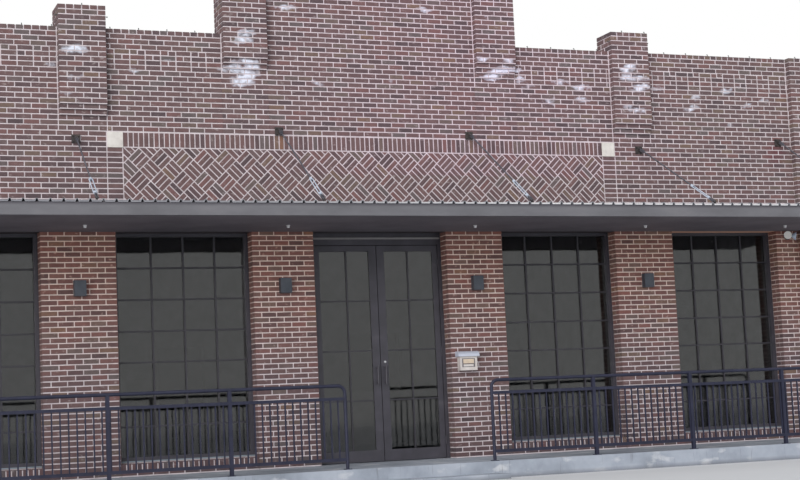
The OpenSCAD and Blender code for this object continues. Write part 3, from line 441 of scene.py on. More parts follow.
d = joint_depth
street = ((1, 0, 0), (0, -1, 0, 0, 0, 0))
core = []
core += both_ways(end_pier_edge + d, half_width - d, -proud + d, wall_thick - d, terrace_top, row_at(wing_top) - 0.01)
core += both_ways(window_edges[3] + d, end_pier_edge + d, d, wall_thick, terrace_top, row_at(46))
core += both_ways(window_edges[1] + d, window_edges[2] - d, d, wall_thick, terrace_top, row_at(46))
core += both_ways(door_edge + d, window_edges[0] - d, d, wall_thick, terrace_top, row_at(46))
core += [(-end_pier_edge - d, end_pier_edge + d, d, wall_thick - d, row_at(46), row_at(wing_top) - 0.01)]
for middle, foot, top, corbels in pilasters:
    low, high = middle - 0.305 + d, middle + 0.305 - d
    core += [(low, high, -proud + d, d + 0.02, row_at(foot) + 0.0005, row_at(wing_top) - 0.01),
             (low, high, -proud + d, wall_thick - d, row_at(wing_top) - 0.01, row_at(top) - 0.01)]
    core += [(low, high, d - out, d + 0.02, row_at(foot - 1 - k) + 0.0005, row_at(foot - k) + 0.0005) for k, out in enumerate(corbels)]
core += [(-1.5285 - d, 1.5285 + d, d, wall_thick - d, row_at(wing_top) - 0.01, row_at(inner_top) - 0.01),
         (-1.5285 + d, 1.5285 - d, d, wall_thick - d, row_at(inner_top) - 0.01, row_at(centre_top) - 0.01)]
front_mortar = blocks("front_mortar", core, mortar)
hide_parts("upper_wall", "stepped_parapet", "end_pier_left", "end_pier_right", "outer_pier_left", "outer_pier_right",
            "inner_pier_left", "inner_pier_right", "pilasters")

# The piers between the openings: running bond with whole bricks and half bricks taking
# turns at each corner, so that the reveals show headers and stretchers by turns.
pier_rows = []


def capped(low, high, top):
    """The top course of a part that stands proud: headers, and behind them a row of half
    bricks that closes the 0.1 m left in front of the rear row."""
    foot, head = row_at(top - 1) + mortar_gap, row_at(top)
    return [standing(low, high, foot, head, 0.1016, proud, 0.1956), standing(low, high, foot, head, 0.1016, -0.1056, 0.0900)]


for low, high in ((door_edge, window_edges[0]), (window_edges[1], window_edges[2])):
    pier_rows += [laid(low, high, 0, 46, low, corners=(1, 1)), laid(-high, -low, 0, 46, -high, corners=(1, 1))]
for side in (-1, 1):
    low, high = sorted((side * window_edges[3], side * end_pier_edge))
    pier_rows += [laid(low, high, 0, 46, side * window_edges[3], corners=(side > 0, side < 0))]
    low, high = sorted((side * end_pier_edge, side * half_width))
    pier_rows += [laid(low, high, 0, wing_top - 1, low, front=proud, corners=(1, 1)), *capped(low, high, wing_top)]
pier_bricks = bricks("pier_bricks", pier_rows, *street, seed=11)

# The return of each pier inside the openings: every second course has a further header
# behind the stretcher's end, up to the window frame.
even = np.arange(0, 46, 2)
reveal = []
for face_x, sign in [(-window_edges[3], 1), (-window_edges[1], 1), (window_edges[0], 1), (window_edges[2], 1), (-door_edge, 1),
                     (window_edges[3], -1), (window_edges[1], -1), (-window_edges[0], -1), (-window_edges[2], -1), (door_edge, -1)]:
    low, high = sorted((face_x, face_x - sign * 0.02))
    foot = row_at(even) + mortar_gap
    head = row_at(even + 1)
    one = np.ones(len(even))
    reveal.append(np.column_stack([one * (low + high) / 2, (foot + head) / 2, one * 0.01, (head - foot) / 2, 0 * one,
                                   -0.2 * one, -0.1076 * one]))
reveal_bricks = bricks("reveal_bricks", reveal, *street, seed=12, corner=0)

# The upper front: running bond with straight joints beside each pilaster and at each
# end of the panel, a band of patched bricks under the parapet, and headers on top.
inner_low, inner_high, outer_low, outer_high = 1.5285, 2.1385, 3.691, 4.301
gap = mortar_gap


def band(left, right, joint, first=77):
    """Four rows with joints in line, one brick apart. The lowest row is all stretchers; above
    it each place holds by turns a stretcher or two headers, the other way round in the next
    row. The top row is laid uneven: its bricks stand up to 6 mm higher or lower."""
    number = np.arange(math.floor((left - joint) / brick_long) - 1, math.ceil((right - joint) / brick_long) + 2)
    parts = []
    for row in range(first, first + 4):
        start = joint + number * brick_long
        split = (number + row) % 2 == 0 if row > first else number < -999
        low = np.concatenate([start, start[split] + brick_long / 2])
        high = np.concatenate([np.where(split, start + brick_long / 2, start + brick_long), start[split] + brick_long])
        low, high = np.clip(low, left, right), np.clip(high, left, right)
        low, high = low[high - low > 0.03], high[high - low > 0.03]
        lift = 0.004 * np.sin(low * 31.0) * (row == first + 3)
        one = np.ones(len(low))
        wide = mortar_gap + 0.002
        parts.append(np.column_stack([(low + high) / 2, one * (row_at(row) + row_at(row + 1) + mortar_gap) / 2 + lift,
                                      (high - low - wide * ((low > left) * 0.5 + (high < right) * 0.5)) / 2,
                                      one * (course - mortar_gap) / 2, 0 * one, -0.02 * one, 0 * one]))
    return np.vstack(parts)


field = [laid(-end_pier_edge, -block_edge - gap, 46, 65, -3.930), laid(block_edge + gap, end_pier_edge, 46, 65, 3.983)]
field += [laid(-block_edge, -panel_half - gap, 46, 62, -block_edge, bond=0), laid(panel_half + gap, block_edge, 46, 62, panel_half, bond=0)]
inner_zone = -inner_low + gap, inner_low - gap
for low, high, phase, columns in ((-end_pier_edge + gap, -outer_high - gap, -3.930, -4.604), (-outer_low + gap, -inner_high - gap, -3.930, -2.151),
                                  (inner_high + gap, outer_low - gap, 3.983, 2.218), (outer_high + gap, end_pier_edge - gap, 3.983, 4.604)):
    field += [laid(low, high, 65, 77, phase), band(low, high, columns), laid(low, high, 81, wing_top - 1, phase),
              standing(low, high, row_at(wing_top - 1) + mortar_gap, row_at(wing_top), 0.1016, 0, 0.2032 - gap / 2)]
for middle, foot, top, corbels in pilasters:
    field += [laid(middle - 0.305, middle + 0.305, 65 if abs(middle) > 3 else 76, foot - len(corbels), middle - 0.305)]
field += [laid(low, high, 65, 76, -3.930) for low, high in ((-inner_high - gap, -inner_low + gap), (inner_low - gap, inner_high + gap))]
field += [laid(*inner_zone, 65, inner_top, -3.930), laid(-inner_low, inner_low, inner_top, centre_top - 1, -3.930, corners=(1, 1)),
          standing(-inner_low, inner_low, row_at(centre_top - 1) + mortar_gap, row_at(centre_top), 0.1016, 0, 0.2032 - gap / 2)]
front_bricks = bricks("front_bricks", field, *street, seed=21)

# The pilasters: three bricks wide and half a brick proud, with whole corner bricks, a
# foot at its own height that steps back in one to three courses, and headers on top.
shafts = []
for middle, foot, top, corbels in pilasters:
    low, high = middle - 0.305, middle + 0.305
    shafts += [laid(low, high, foot, top - 1, low, front=proud, depth=0.1016 - gap / 2, corners=(1, 1)), *capped(low, high, top)]
    shafts += [laid(low, high, foot - 1 - k, foot - k, low, front=out, depth=0.05, corners=(1, 1)) for k, out in enumerate(corbels)]
pilaster_bricks = bricks("pilaster_bricks", shafts, *street, seed=31)

# The soldier course over the panel: bricks set upright, side by side, three courses
# high, with two browned by rust under the left rod's plate.
soldiers = standing(-panel_half, panel_half, row_at(62) + mortar_gap, row_at(65) - mortar_gap / 2, course)


def rusted(rows, tones):
    """The two bricks under the middle of the rod's plate have the last two of the tones:
    the left one brown, the right one a dull rust-orange."""
    return np.where(abs(rows[:, 0] + 1.37) < 0.07, np.where(rows[:, 0] < -1.37, 0.972, 0.986), tones)


soldier_bricks = bricks("soldier_bricks", [soldiers], *street, seed=41, edge_tones=rusted)

# The panel: squares of three bricks set at 45 degrees, leaning left and right by turns
# in each row, and cut straight at the panel's four edges.
square = 3 * course
half_step = square / math.sqrt(2)
row_count = 11
rows_up = np.arange(-row_count, 3)[:, None]
numbers = np.arange(-16, 17)[None, :]
middle_z = row_at(62) - half_step + rows_up * half_step + 0 * numbers
middle_x = -0.123 + 2 * half_step * numbers + (rows_up % 2) * half_step
lean = np.where(rows_up % 2 == 0, math.pi / 4, -math.pi / 4) + 0 * numbers
middle_x, middle_z, lean = middle_x.ravel(), middle_z.ravel(), lean.ravel()
woven = []
for place in (-1, 0, 1):
    one = np.ones(len(lean))
    woven.append(np.column_stack([middle_x - np.sin(lean) * place * course, middle_z + np.cos(lean) * place * course,
                                  one * (square - mortar_gap) / 2, one * (course - mortar_gap) / 2, lean, -0.02 * one, 0 * one]))
panel_bricks = bricks("panel_bricks", woven, *street, seed=51)
cut = bmesh.new()
cut.from_mesh(panel_bricks.data)
for point, normal in (((0, 0, row_at(62) - 0.001), (0, 0, 1)), ((0, 0, row_at(46)), (0, 0, -1)),
                      ((panel_half - 0.001, 0, 0), (1, 0, 0)), ((-panel_half + 0.001, 0, 0), (-1, 0, 0))):
    split = bmesh.ops.bisect_plane(cut, geom=cut.verts[:] + cut.edges[:] + cut.faces[:], plane_co=point, plane_no=normal, clear_outer=True)
    bmesh.ops.holes_fill(cut, edges=[e for e in split["geom_cut"] if isinstance(e, bmesh.types.BMEdge)], sides=0)
cut.to_mesh(panel_bricks.data)
cut.free()

# Clips for strings of lamps, which aren't up: strips of dark plastic, bent to a hook, one
# every 0.375 m along the parapet, and a screw eye in each side of the outer pilasters.
clip_path = np.array([(0.034, 0.0012), (0.008, 0.0012), (0.001, 0.005), (0.0, 0.015), (0.003, 0.024), (0.010, 0.028), (0.018, 0.025), (0.019, 0.018)])
clip_wide, clip_thick = 0.010, 0.0024
clip_x = np.arange(-6.99, 7.1, 0.375)
clip_x = clip_x[(abs(abs(clip_x) - inner_low) > 0.03) & (abs(abs(clip_x) - inner_high) > 0.03) & (abs(abs(clip_x) - outer_low) > 0.03) & (abs(abs(clip_x) - outer_high) > 0.03)]
across = abs(clip_x)
clip_row = np.select([across < inner_low, across < inner_high, (across > outer_low) & (across < outer_high)], [centre_top, inner_top, outer_top], wing_top)
clip_front = np.where((across > inner_low) & (across < inner_high) | (across > outer_low) & (across < outer_high) | (across > end_pier_edge), -proud, 0) + 0.012


def bent(name, places, path, wide, thick, finish):
    """A flat strip carried along a path in the y-z plane, the same at each place: at each
    point of the path four corners, wide / 2 to each side along x, and thick / 2 to each side
    along the path's normal n = (-dz, dy) / |d|, where d is the path's own direction."""
    ahead = np.gradient(path, axis=0)
    normal = np.stack([-ahead[:, 1], ahead[:, 0]], 1) / np.linalg.norm(ahead, axis=1)[:, None]
    ring = np.zeros((len(path), 4, 3))
    for corner, (a, b) in enumerate(((-1, -1), (1, -1), (1, 1), (-1, 1))):
        ring[:, corner, 0] = a * wide / 2
        ring[:, corner, 1:] = path + b * thick / 2 * normal
    points = (np.array(places)[:, None, None, :] + ring[None]).reshape(-1, 3)
    k = np.arange(4)
    walls = np.vstack([np.stack([k, (k + 1) % 4, (k + 1) % 4 + 4, k + 4], 1) + 4 * j for j in range(len(path) - 1)])
    faces = np.vstack([[[3, 2, 1, 0]], walls, [np.arange(4) + 4 * (len(path) - 1)]])
    faces = (faces[None] + 4 * len(path) * np.arange(len(places))[:, None, None]).reshape(-1, 4)
    mesh = bpy.data.meshes.new(name)
    mesh.from_pydata(points.tolist(), [], faces.tolist())
    mesh.materials.append(finish)
    made = bpy.data.objects.new(name, mesh)
    bpy.context.collection.objects.link(made)
    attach(made, "building")
    return made


def turned(name, places, out, rings, sides, finish, body="building"):
    """Turned or many-sided heads, alike, each standing on a face at one of `places`. Ring j
    has radius r and height h over the face; its point k is place + r cos(2 pi k / sides) p +
    r sin(2 pi k / sides) q + h out, where p and q lie in the face and p x q = out."""
    places, out, rings = np.array(places, float), np.array(out, float), np.array(rings, float)
    p = np.array([1.0, 0, 0]) if abs(out[0]) < 0.5 else np.array([0, 1.0, 0])
    q = np.cross(out, p)
    angle = np.arange(sides) * 2 * math.pi / sides
    circle = np.cos(angle)[:, None] * p + np.sin(angle)[:, None] * q
    points = (places[:, None, None, :] + rings[None, :, None, :1] * circle[None, None] + rings[None, :, None, 1:] * out).reshape(-1, 3)
    k = np.arange(sides)
    sides_quads = np.vstack([np.stack([k, (k + 1) % sides, (k + 1) % sides + sides, k + sides], 1) + sides * j for j in range(len(rings) - 1)])
    first = np.arange(len(places)) * sides * len(rings)
    faces = (sides_quads[None] + first[:, None, None]).reshape(-1, 4).tolist()
    faces += (k[None, ::-1] + first[:, None]).tolist() + (k[None] + first[:, None] + sides * (len(rings) - 1)).tolist()
    mesh = bpy.data.meshes.new(name)
    mesh.from_pydata(points.tolist(), [], faces)
    mesh.materials.append(finish)
    made = bpy.data.objects.new(name, mesh)
    bpy.context.collection.objects.link(made)
    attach(made, body)
    return made


clip_plastic = mottled("clip_plastic", [(0.3, (0.030, 0.040, 0.038)), (0.7, (0.070, 0.080, 0.078))], 40.0, (0.4, 0.6), bump=0.05)
string_clips = bent("string_clips", np.column_stack([clip_x, clip_front, row_at(clip_row)]), clip_path, clip_wide, clip_thick, clip_plastic)
eye_rings = [(0.008, 0), (0.003, 0.004), (0.003, 0.020), (0.010, 0.025), (0.010, 0.032), (0.006, 0.034)]
for name, side, edges in (("eyes_left", -1, (-outer_high, outer_low)), ("eyes_right", 1, (-outer_low, outer_high))):
    turned(name, [(x, -0.05, row_at(outer_top - 2)) for x in edges], (side, 0, 0), eye_rings, 8, clip_plastic)

# The side walls: common running bond with the street front's corner bricks carried
# round, and a parapet that steps down twice, each step topped with headers.
side_steps = ((-0.10, 4.22, 85), (4.22, 8.11, 80), (8.11, back_face, 75))
for side, name in ((-1, "left"), (1, "right")):
    near, far = half_width - d, half_width - wall_thick
    walls = [(near, far, wall_thick - d, back_face - d, 0.0, row_at(67))]
    for low, high, top in side_steps:
        walls += [(near, far + d, max(low, wall_thick - d), high - d, row_at(67), row_at(top) - 0.01)]
    walls = [(*sorted((side * a, side * b)), *rest) for a, b, *rest in walls]
    mortar_piece = blocks(name + "_side_mortar", walls, mortar)
    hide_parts("party_wall_" + name)
    outer, inner = [], []
    for low, high, top in side_steps:
        first = 0 if low < 0 else -3
        a, b = (low, high) if side > 0 else (-high, -low)
        joint = -0.1 + 0.1016 if side > 0 else 0.1 - 0.1016
        corner_end = (low < 0) and (1, 0) or (0, 0)
        end = corner_end if side > 0 else corner_end[::-1]
        last = (0, 1) if high >= back_face and side > 0 else ((1, 0) if high >= back_face else (0, 0))
        outer += [laid(a, b, first, top - 1, joint, corners=last, taken=end)]
        outer += [standing(a + (0.1956 + mortar_gap) * end[0], b - (0.1956 + mortar_gap) * end[1], row_at(top - 1) + mortar_gap, row_at(top), 0.1016, 0, 0.1956)]
        if low < 0:
            a2, b2 = (wall_thick, high) if side > 0 else (-high, -wall_thick)
            outer += [laid(a2, b2, -3, 0, joint)]
        a, b = (max(low, wall_thick), high)
        a, b = (-b, -a) if side > 0 else (a, b)
        inner += [laid(a, b, 67, top - 1, joint), standing(a, b, row_at(top - 1) + mortar_gap, row_at(top), 0.1016, 0, 0.1244)]
    bricks(name + "_side_bricks", outer, (0, side, 0), (side, 0, 0, side * half_width, 0, 0), seed=61 + side, corner=0)
    bricks(name + "_parapet_bricks", inner, (0, -side, 0), (-side, 0, 0, side * (half_width - wall_thick), 0, 0), seed=71 + side, corner=0)
    steps = [laid(half_width - wall_thick, half_width, low_row, top - 1, half_width, depth=0.0956) for low_row, top in ((75, 80), (80, 85))]
    for y_at, number in ((4.22, 1), (8.11, 0)):
        ends = steps[number].copy()
        ends[:, 0] *= -side
        bricks(f"{name}_step_{number + 1}", [ends], (-1, 0, 0), (0, 1, 0, 0, y_at, 0), seed=81 + side + number, corner=0)

# The rear of the front parapet and the sides of its steps: the same bricks, seen from
# the roof, with the headers of the top course ending in a shorter second row.
rear_rows = []
for low, high, first, top in ((-7.0355, 7.0355, 71, wing_top), (-inner_high, inner_high, wing_top, inner_top), (-inner_low, inner_low, inner_top, centre_top),
                              (outer_low, outer_high, wing_top, outer_top), (-outer_high, -outer_low, wing_top, outer_top)):
    whole = first > 71 and top < centre_top
    rear_rows += [laid(low, high, first, top - 1, low, corners=(whole, whole)), standing(low, high, row_at(top - 1) + mortar_gap, row_at(top), 0.1016, 0, 0.1244)]
bricks("rear_parapet_bricks", rear_rows, (-1, 0, 0), (0, 1, 0, 0, wall_thick, 0), seed=91, corner=0)
for name, face_x, sign, y0, y1, first, top in [("outer_step", outer_low, -1, -proud, wall_thick, wing_top, outer_top), ("outer_rise", outer_high, 1, -proud, wall_thick, wing_top, outer_top),
                                               ("inner_rise", inner_high, 1, -proud, wall_thick, wing_top, inner_top), ("centre_rise", inner_low, 1, 0.0, wall_thick - 0.02, inner_top, centre_top)]:
    for side in (-1, 1):
        out = sign * side
        a, b = (y0, y1) if out > 0 else (-y1, -y0)
        near = (1, 0) if out > 0 else (0, 1)
        part = [laid(a, b, first, top - 1, y0 + 0.1016 if out > 0 else -y0 - 0.1016, taken=near if name == "centre_rise" else (1, 1))]
        bricks(f"{name}_{'left' if side < 0 else 'right'}", part, (0, out, 0), (out, 0, 0, side * face_x, 0, 0), seed=101 + side, corner=0)

# The rear wall: the same common bond round a door and two windows, each under a row of
# cut soldiers, below the exposed edge of the roof.
window_low, window_high, door_half = 3.59, 4.81, 0.4825
rear_core = [(-7.0355, -window_high, 0, 4.56), (-window_low, -door_half, 0, 4.56), (door_half, window_low, 0, 4.56), (window_high, 7.0355, 0, 4.56),
             (-window_high, -window_low, 0, 1.31), (window_low, window_high, 0, 1.31), (-window_high, -window_low, 2.53, 4.56), (window_low, window_high, 2.53, 4.56),
             (-door_half, door_half, 0, 0.21), (-door_half, door_half, 2.345, 4.56)]
rear_mortar = blocks("rear_mortar", [(x0, x1, back_face - wall_thick, back_face - d, z0, z1) for x0, x1, z0, z1 in rear_core], mortar)
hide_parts("rear_wall")
back_rows = [laid(-half_width, half_width, -3, 0, -half_width, corners=(1, 1)), laid(-half_width, half_width, 37, 64, -half_width, corners=(1, 1))]
for low, high in ((-half_width, -window_high), (window_high, half_width)):
    back_rows += [laid(low, high, 0, 37, -half_width, corners=(low < -7, high > 7))]
    back_rows += [laid(*sorted((math.copysign(7.0355, low), math.copysign(half_width, low))), 64, 74, -half_width, corners=(low < -7, high > 7))]
    back_rows += [standing(*sorted((math.copysign(7.0355, low), math.copysign(half_width, low))), row_at(74) + mortar_gap, row_at(75), 0.1016, 0, 0.1956)]
for low, high in ((-window_high, -window_low), (window_low, window_high)):
    back_rows += [laid(low, high, 0, 16, -half_width), standing(low, high, 2.53 + mortar_gap, row_at(37), course)]
for low, high in ((-window_low, -door_half), (door_half, window_low)):
    back_rows += [laid(low, high, 0, 37, -half_width, corners=(high == -door_half, low == door_half))]
back_rows += [standing(-door_half, door_half, 2.345 + mortar_gap, row_at(34), course), laid(-door_half, door_half, 34, 37, -half_width)]
bricks("rear_bricks", back_rows, (-1, 0, 0), (0, 1, 0, 0, back_face, 0), seed=111, corner=0)

# The curbs under the windows: a stretcher course and, over it, bricks on edge that fall
# to the street, with a thin blue-grey metal strip along the sill.
curb_front, frame_front = 0.012, 0.203
curb_rows, sill_rows = [], []
curb_core, strips = [], []
for low, high in ((-6.3705, -4.5705), (-3.6155, -1.8155), (1.8155, 3.6155), (4.5705, 6.3705)):
    curb_rows += [laid(low, high, 0, 1, low, front=-curb_front)]
    curb_rows += [standing(low, high, row_at(1) + mortar_gap, 0.370, course, -curb_front, 0.1956)]
    curb_core += [(low, high, curb_front + d, 0.303, terrace_top, 0.362), (low, high, frame_front, 0.303, 0.362, 0.395)]
    strips += [(low, high, frame_front - 0.012, frame_front + 0.002, 0.384, 0.398)]
curb_mortar = blocks("curb_mortar", curb_core, mortar)
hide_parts("window_curbs")
bricks("curb_bricks", curb_rows, *street, seed=121)
strip_paint = mottled("strip_paint", [(0.3, (0.22, 0.27, 0.32)), (0.7, (0.36, 0.42, 0.47))], 6.0, (0.4, 0.6), bump=0.05, metal=0.4)
blocks("sill_strips", strips, strip_paint, worn=0.002)

# The pale blocks at the ends of the panel: cast stone, smooth, with darker pores, streaks
# and a little more cream than grey.
cast_stone = mottled("cast_stone", [(0.3, (0.52, 0.49, 0.46)), (0.55, (0.66, 0.63, 0.59)), (0.75, (0.74, 0.72, 0.69))], 7.0, (0.8, 0.95), bump=0.3, grain=120)
dress(cast_stone, "panel_blocks")

# Roof: a built-up felt roof with mineral granules, in lapped strips.
roofing = mottled("roofing", [(0.3, (0.16, 0.16, 0.165)), (0.6, (0.24, 0.24, 0.245)), (0.8, (0.33, 0.33, 0.33))], 1.4, (0.85, 0.98), bump=0.6, grain=260)
lap = sums(roofing, "MODULO", sums(roofing, "ADD", along(roofing, "Y"), 0.2), 0.915)
over(roofing, lap, (0.62, 0.62, 0.63), 0.045, 0.015, "MULTIPLY")
over(roofing, noise_on(roofing, 0.7, (1, 1, 1), 6.0), (0.78, 0.77, 0.75), 0.50, 0.60, "MULTIPLY")
dress(roofing, "roof_slab")

# Window frames and doors: aluminium sections painted dark bronze, with a slight sheen
# and dust that has settled in the corners.
bronze = mottled("bronze_paint", [(0.3, (0.038, 0.037, 0.046)), (0.7, (0.060, 0.057, 0.072))], 5.0, (0.36, 0.52), bump=0.03, grain=400, metal=0.1)
over(bronze, noise_on(bronze, 3.0, (1, 1, 3), 6.0), (0.10, 0.10, 0.11), 0.6, 0.95)
dress(bronze, "window_frames", "door_frame", "door_leaf_left", "door_leaf_right", "door_pull_left", "door_pull_right",
      "rear_window_frames", "rear_door")

# The lintels: flat steel over each opening, under the brickwork, brown with rust that is
# brightest over the right end window, and a dull bare strip along the door frame's head.
lintel_steel = mottled("lintel_steel", [(0.3, (0.028, 0.024, 0.028)), (0.7, (0.060, 0.046, 0.048))], 7.0, (0.6, 0.85), bump=0.2)
over(lintel_steel, along(lintel_steel, "X"), (0.78, 0.44, 0.30), 4.3, 4.5)
frame_face = 0.203
openings = [(-6.3705, -4.5705), (-3.6155, -1.8155), (-door_edge, door_edge), (1.8155, 3.6155), (4.5705, 6.3705)]
blocks("lintels", [(low + 0.003, high - 0.003, 0.008, 0.200, 3.3150, 3.3252) for low, high in openings], lintel_steel, worn=0.002)
strip_metal = mottled("strip_metal", [(0.3, (0.21, 0.20, 0.20)), (0.7, (0.30, 0.29, 0.29))], 9.0, (0.4, 0.6), bump=0.06, metal=0.3, stretch=(0.2, 1, 1))
blocks("door_head_strip", [(-0.950, 0.950, frame_face - 0.010, frame_face, 3.232, 3.258)], strip_metal, worn=0.003)

# Window bars: slim flat bars in front of the glass, four panes across and seven high in
# each window, and two across and four high in each door leaf.
bars = []
bar_rows = terrace_top + np.array([0.62, 1.03, 1.44, 1.84, 2.25, 2.66])
for low, high in ((-6.3205, -4.6205), (-3.5655, -1.8655), (1.8655, 3.5655), (4.6205, 6.3205)):
    upright = np.linspace(low, high, 5)[1:4] + (0.03 if low == -3.5655 else 0.0)
    bars += [(x - 0.011, x + 0.011, 0.252, 0.276, 0.445, 3.2756) for x in upright]
    bars += [(low, high, 0.254, 0.276, z - 0.011, z + 0.011) for z in bar_rows]
bar_paint = mottled("bar_paint", [(0.3, (0.020, 0.019, 0.025)), (0.7, (0.034, 0.032, 0.042))], 9.0, (0.4, 0.55), bump=0.03, grain=400)
blocks("window_bars", bars, bar_paint)
for name, low, high, middle in (("left", -0.8255, -0.1125, -0.442), ("right", 0.1125, 0.8255, 0.458)):
    leaf_bars = [(middle - 0.010, middle + 0.010, 0.207, 0.222, 0.371, 3.066)]
    leaf_bars += [(low, high, 0.208, 0.222, z - 0.010, z + 0.010) for z in terrace_top + np.array([0.828, 1.501, 2.180])]
    blocks(name + "_leaf_bars", leaf_bars, bar_paint, name + "_leaf")

# The lock: a bright cylinder in a ring on the right leaf's stile, over the pull.
lock_metal = mottled("lock_metal", [(0.3, (0.55, 0.56, 0.58)), (0.7, (0.75, 0.76, 0.78))], 60.0, (0.25, 0.4), bump=0.02, metal=0.7)
turned("lock_cylinder", [(0.064, 0.203, 1.554)], (0, -1, 0), [(0.0165, 0), (0.0165, 0.006), (0.014, 0.009), (0.010, 0.009), (0.010, 0.013), (0.008, 0.015)],
       24, lock_metal, "right_leaf")

# Glass: single panes, tinted dark so that the room behind shows as painted shade from the street, with faint dust and
# rain marks.
glass = mottled("window_glass", [(0.3, (0.20, 0.22, 0.22)), (0.7, (0.26, 0.28, 0.28))], 2.0, (0.02, 0.06), bump=0.12, grain=3.0)
skin = glass.node_tree.nodes["Principled BSDF"]
skin.inputs["Transmission Weight"].default_value = 1.0
skin.inputs["IOR"].default_value = 1.62
dress(glass, "window_glass", "door_glass_left", "door_glass_right")
obscured = mottled("obscured_glass", [(0.3, (0.030, 0.036, 0.036)), (0.7, (0.055, 0.062, 0.060))], 90.0, (0.18, 0.30), bump=0.25, grain=180)
dress(obscured, "rear_glass")

# The rods that hold the canopy: bare steel, dull and a little rusty at the brackets, and
# fixed to the wall and the channel by plates with four hexagon bolts each.
rod_steel = mottled("rod_steel", [(0.3, (0.030, 0.028, 0.030)), (0.6, (0.060, 0.050, 0.046)), (0.85, (0.13, 0.075, 0.050))], 9.0, (0.55, 0.8), bump=0.2, grain=240, metal=0.3)
dress(rod_steel, "rod_brackets", "rod_pins")
rod_zinc = mottled("rod_zinc", [(0.3, (0.060, 0.062, 0.075)), (0.6, (0.110, 0.110, 0.130)), (0.85, (0.14, 0.10, 0.085))], 14.0, (0.5, 0.7), bump=0.1, metal=0.3)
dress(rod_zinc, "tie_rods")
wall_plates = [(x, -0.012, z) for x, z in ((-6.5155, 4.665), (-4.093, 4.510), (-1.389, 4.665), (1.389, 4.665), (4.093, 4.510), (6.5155, 4.665))]
foot_plates = [(x, -1.750, 3.459) for x in (-6.6155, -4.174, -1.389, 1.449, 4.201, 6.6155)]
bolt_rings = [(0.0145, 0.0), (0.0145, 0.007), (0.0120, 0.0095), (0.0065, 0.0098), (0.0065, 0.017), (0.0050, 0.018)]
turned("wall_plate_bolts", [(x + a, y, z + b) for x, y, z in wall_plates for a in (-0.037, 0.037) for b in (-0.037, 0.037)], (0, -1, 0), bolt_rings, 6, rod_steel)
turned("foot_plate_bolts", [(x + a, y + b, z) for x, y, z in foot_plates for a in (-0.040, 0.040) for b in (-0.043, 0.043)], (0, 0, 1), bolt_rings, 6, rod_steel)

# The canopy's steel: a channel painted mid grey, weathered, with painted shade from the deck darkening it along its top
# flange.
canopy_paint = mottled("canopy_paint", [(0.3, (0.100, 0.100, 0.110)), (0.55, (0.135, 0.135, 0.148)), (0.8, (0.175, 0.170, 0.182))],
                       1.2, (0.5, 0.7), bump=0.08, metal=0.1, stretch=(1, 1, 3))
over(canopy_paint, along(canopy_paint, "Z"), (0.055, 0.050, 0.062), 3.405, 3.445)
dress(canopy_paint, "canopy_fascia")
soffit_paint = mottled("soffit_paint", [(0.3, (0.120, 0.106, 0.120)), (0.7, (0.180, 0.160, 0.178))], 1.6, (0.7, 0.9), bump=0.1)
dress(soffit_paint, "canopy_ledger", "canopy_outriggers", "canopy_soffit")
galvanised = mottled("galvanised", [(0.3, (0.40, 0.47, 0.58)), (0.55, (0.55, 0.61, 0.70)), (0.75, (0.68, 0.72, 0.80))], 26.0, (0.4, 0.6), bump=0.06, metal=0.35)
dress(galvanised, "turnbuckles")
deck_zinc = mottled("deck_zinc", [(0.3, (0.22, 0.23, 0.26)), (0.55, (0.34, 0.35, 0.38)), (0.8, (0.46, 0.47, 0.50))], 3.0, (0.5, 0.75), bump=0.06, metal=0.3)
dress(deck_zinc, "canopy_deck")

# Closures in the deck's front edge: pale foam, cut to the troughs between the ribs, with painted shade that darkens
# them towards the left; and small white fittings in the soffit, 0.7 m in front of the wall.
rib_pitch, pan_top, closure_high = 0.1524, 3.451, 0.017
trough = (np.arange(-48, 48) + 0.5) * rib_pitch
ring_x = np.array([-0.0518, 0.0518, 0.0588, -0.0588])
ring_z = pan_top + np.array([0.0003, 0.0003, closure_high, closure_high])
corner_x = trough[:, None] + ring_x
closure_points = np.stack([np.stack([corner_x, 0 * corner_x + y_at, 0 * corner_x + ring_z], -1) for y_at in (-1.8412, -1.8350)], 1)
closure_faces = np.array([[0, 1, 2, 3], [7, 6, 5, 4], [0, 4, 5, 1], [1, 5, 6, 2], [2, 6, 7, 3], [3, 7, 4, 0]])
foam = mottled("closure_foam", [(0.3, (0.50, 0.50, 0.51)), (0.7, (0.68, 0.67, 0.68))], 30.0, (0.8, 0.95), bump=0.4, grain=500)
# Painted shade: the foam grows darker towards the left end of the canopy.
over(foam, along(foam, "X"), (0.20, 0.20, 0.22), 1.5, -3.0)
mesh = bpy.data.meshes.new("deck_closures")
mesh.from_pydata(closure_points.reshape(-1, 3).tolist(), [], (closure_faces[None] + 8 * np.arange(len(trough))[:, None, None]).reshape(-1, 4).tolist())
mesh.materials.append(foam)
deck_closures = bpy.data.objects.new("deck_closures", mesh)
bpy.context.collection.objects.link(deck_closures)
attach(deck_closures, "building")
cap_white = mottled("cap_white", [(0.3, (0.66, 0.66, 0.66)), (0.7, (0.78, 0.78, 0.78))], 40.0, (0.4, 0.6), bump=0.03)
turned("soffit_caps", [(x, -0.70, 3.315) for x in (-4.13, -1.53, 1.10, 3.72, 6.05)], (0, 0, -1),
       [(0.026, 0.0), (0.026, 0.005), (0.020, 0.009), (0.020, 0.026), (0.014, 0.034), (0.006, 0.036)], 20, cap_white)

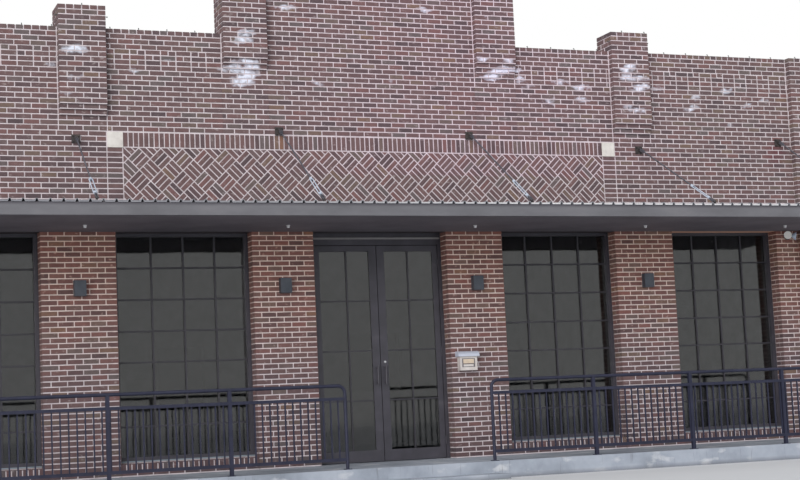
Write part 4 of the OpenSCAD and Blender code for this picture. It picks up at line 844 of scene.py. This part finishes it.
# Railings: square posts, round rail and pickets of steel, painted blue-black.
rail_paint = mottled("rail_paint", [(0.3, (0.012, 0.014, 0.030)), (0.7, (0.024, 0.026, 0.050))], 8.0, (0.5, 0.65), bump=0.05, grain=300)
rail_paint.node_tree.nodes["Principled BSDF"].inputs["Specular IOR Level"].default_value = 0.3
dress(rail_paint, "railing_left", "railing_right")

# Wall lights, painted dark blue-grey, and the drop box: a pale enamelled case with a dark
# slot, a tan flap and a tray in its front, under a rounded bare metal hood.
light_paint = mottled("light_paint", [(0.3, (0.045, 0.055, 0.070)), (0.7, (0.075, 0.085, 0.105))], 8.0, (0.4, 0.55), bump=0.08, grain=350, metal=0.2)
dress(light_paint, "wall_lights")
box_metal = mottled("box_metal", [(0.3, (0.56, 0.52, 0.50)), (0.7, (0.72, 0.68, 0.65))], 10.0, (0.35, 0.5), bump=0.05, metal=0.1)
over(box_metal, along(box_metal, "Z"), (0.56, 0.60, 0.70), 1.580, 1.584)
dress(box_metal, "drop_box")
slot_dark = mottled("slot_dark", [(0.3, (0.10, 0.09, 0.10)), (0.7, (0.16, 0.15, 0.16))], 30.0, (0.5, 0.7), bump=0.05)
flap_tan = mottled("flap_tan", [(0.3, (0.60, 0.49, 0.37)), (0.7, (0.72, 0.60, 0.46))], 18.0, (0.45, 0.6), bump=0.04)
slot_centre = 1.1755
blocks("drop_slot", [(slot_centre - 0.095, slot_centre + 0.095, -0.0905, -0.0885, 1.436, 1.554)], slot_dark, worn=0.0009)
blocks("drop_flap", [(slot_centre - 0.080, slot_centre + 0.080, -0.0950, -0.0900, 1.486, 1.546)], flap_tan, worn=0.002)
blocks("drop_tray", [(slot_centre - 0.078, slot_centre + 0.072, -0.0935, -0.0900, 1.444, 1.474)], box_metal, worn=0.0015)

# The security light: a dark cover on the wall and two enamelled heads, the left one warm
# white and the right one blue-white.
security_white = mottled("security_white", [(0.3, (0.78, 0.77, 0.71)), (0.7, (0.88, 0.87, 0.82))], 12.0, (0.3, 0.45), bump=0.03)
over(security_white, along(security_white, "X"), (0.60, 0.72, 0.86), 6.578, 6.586)
over(security_white, along(security_white, "Y"), (0.035, 0.045, 0.045), -0.040, -0.034)
dress(security_white, "security_light")
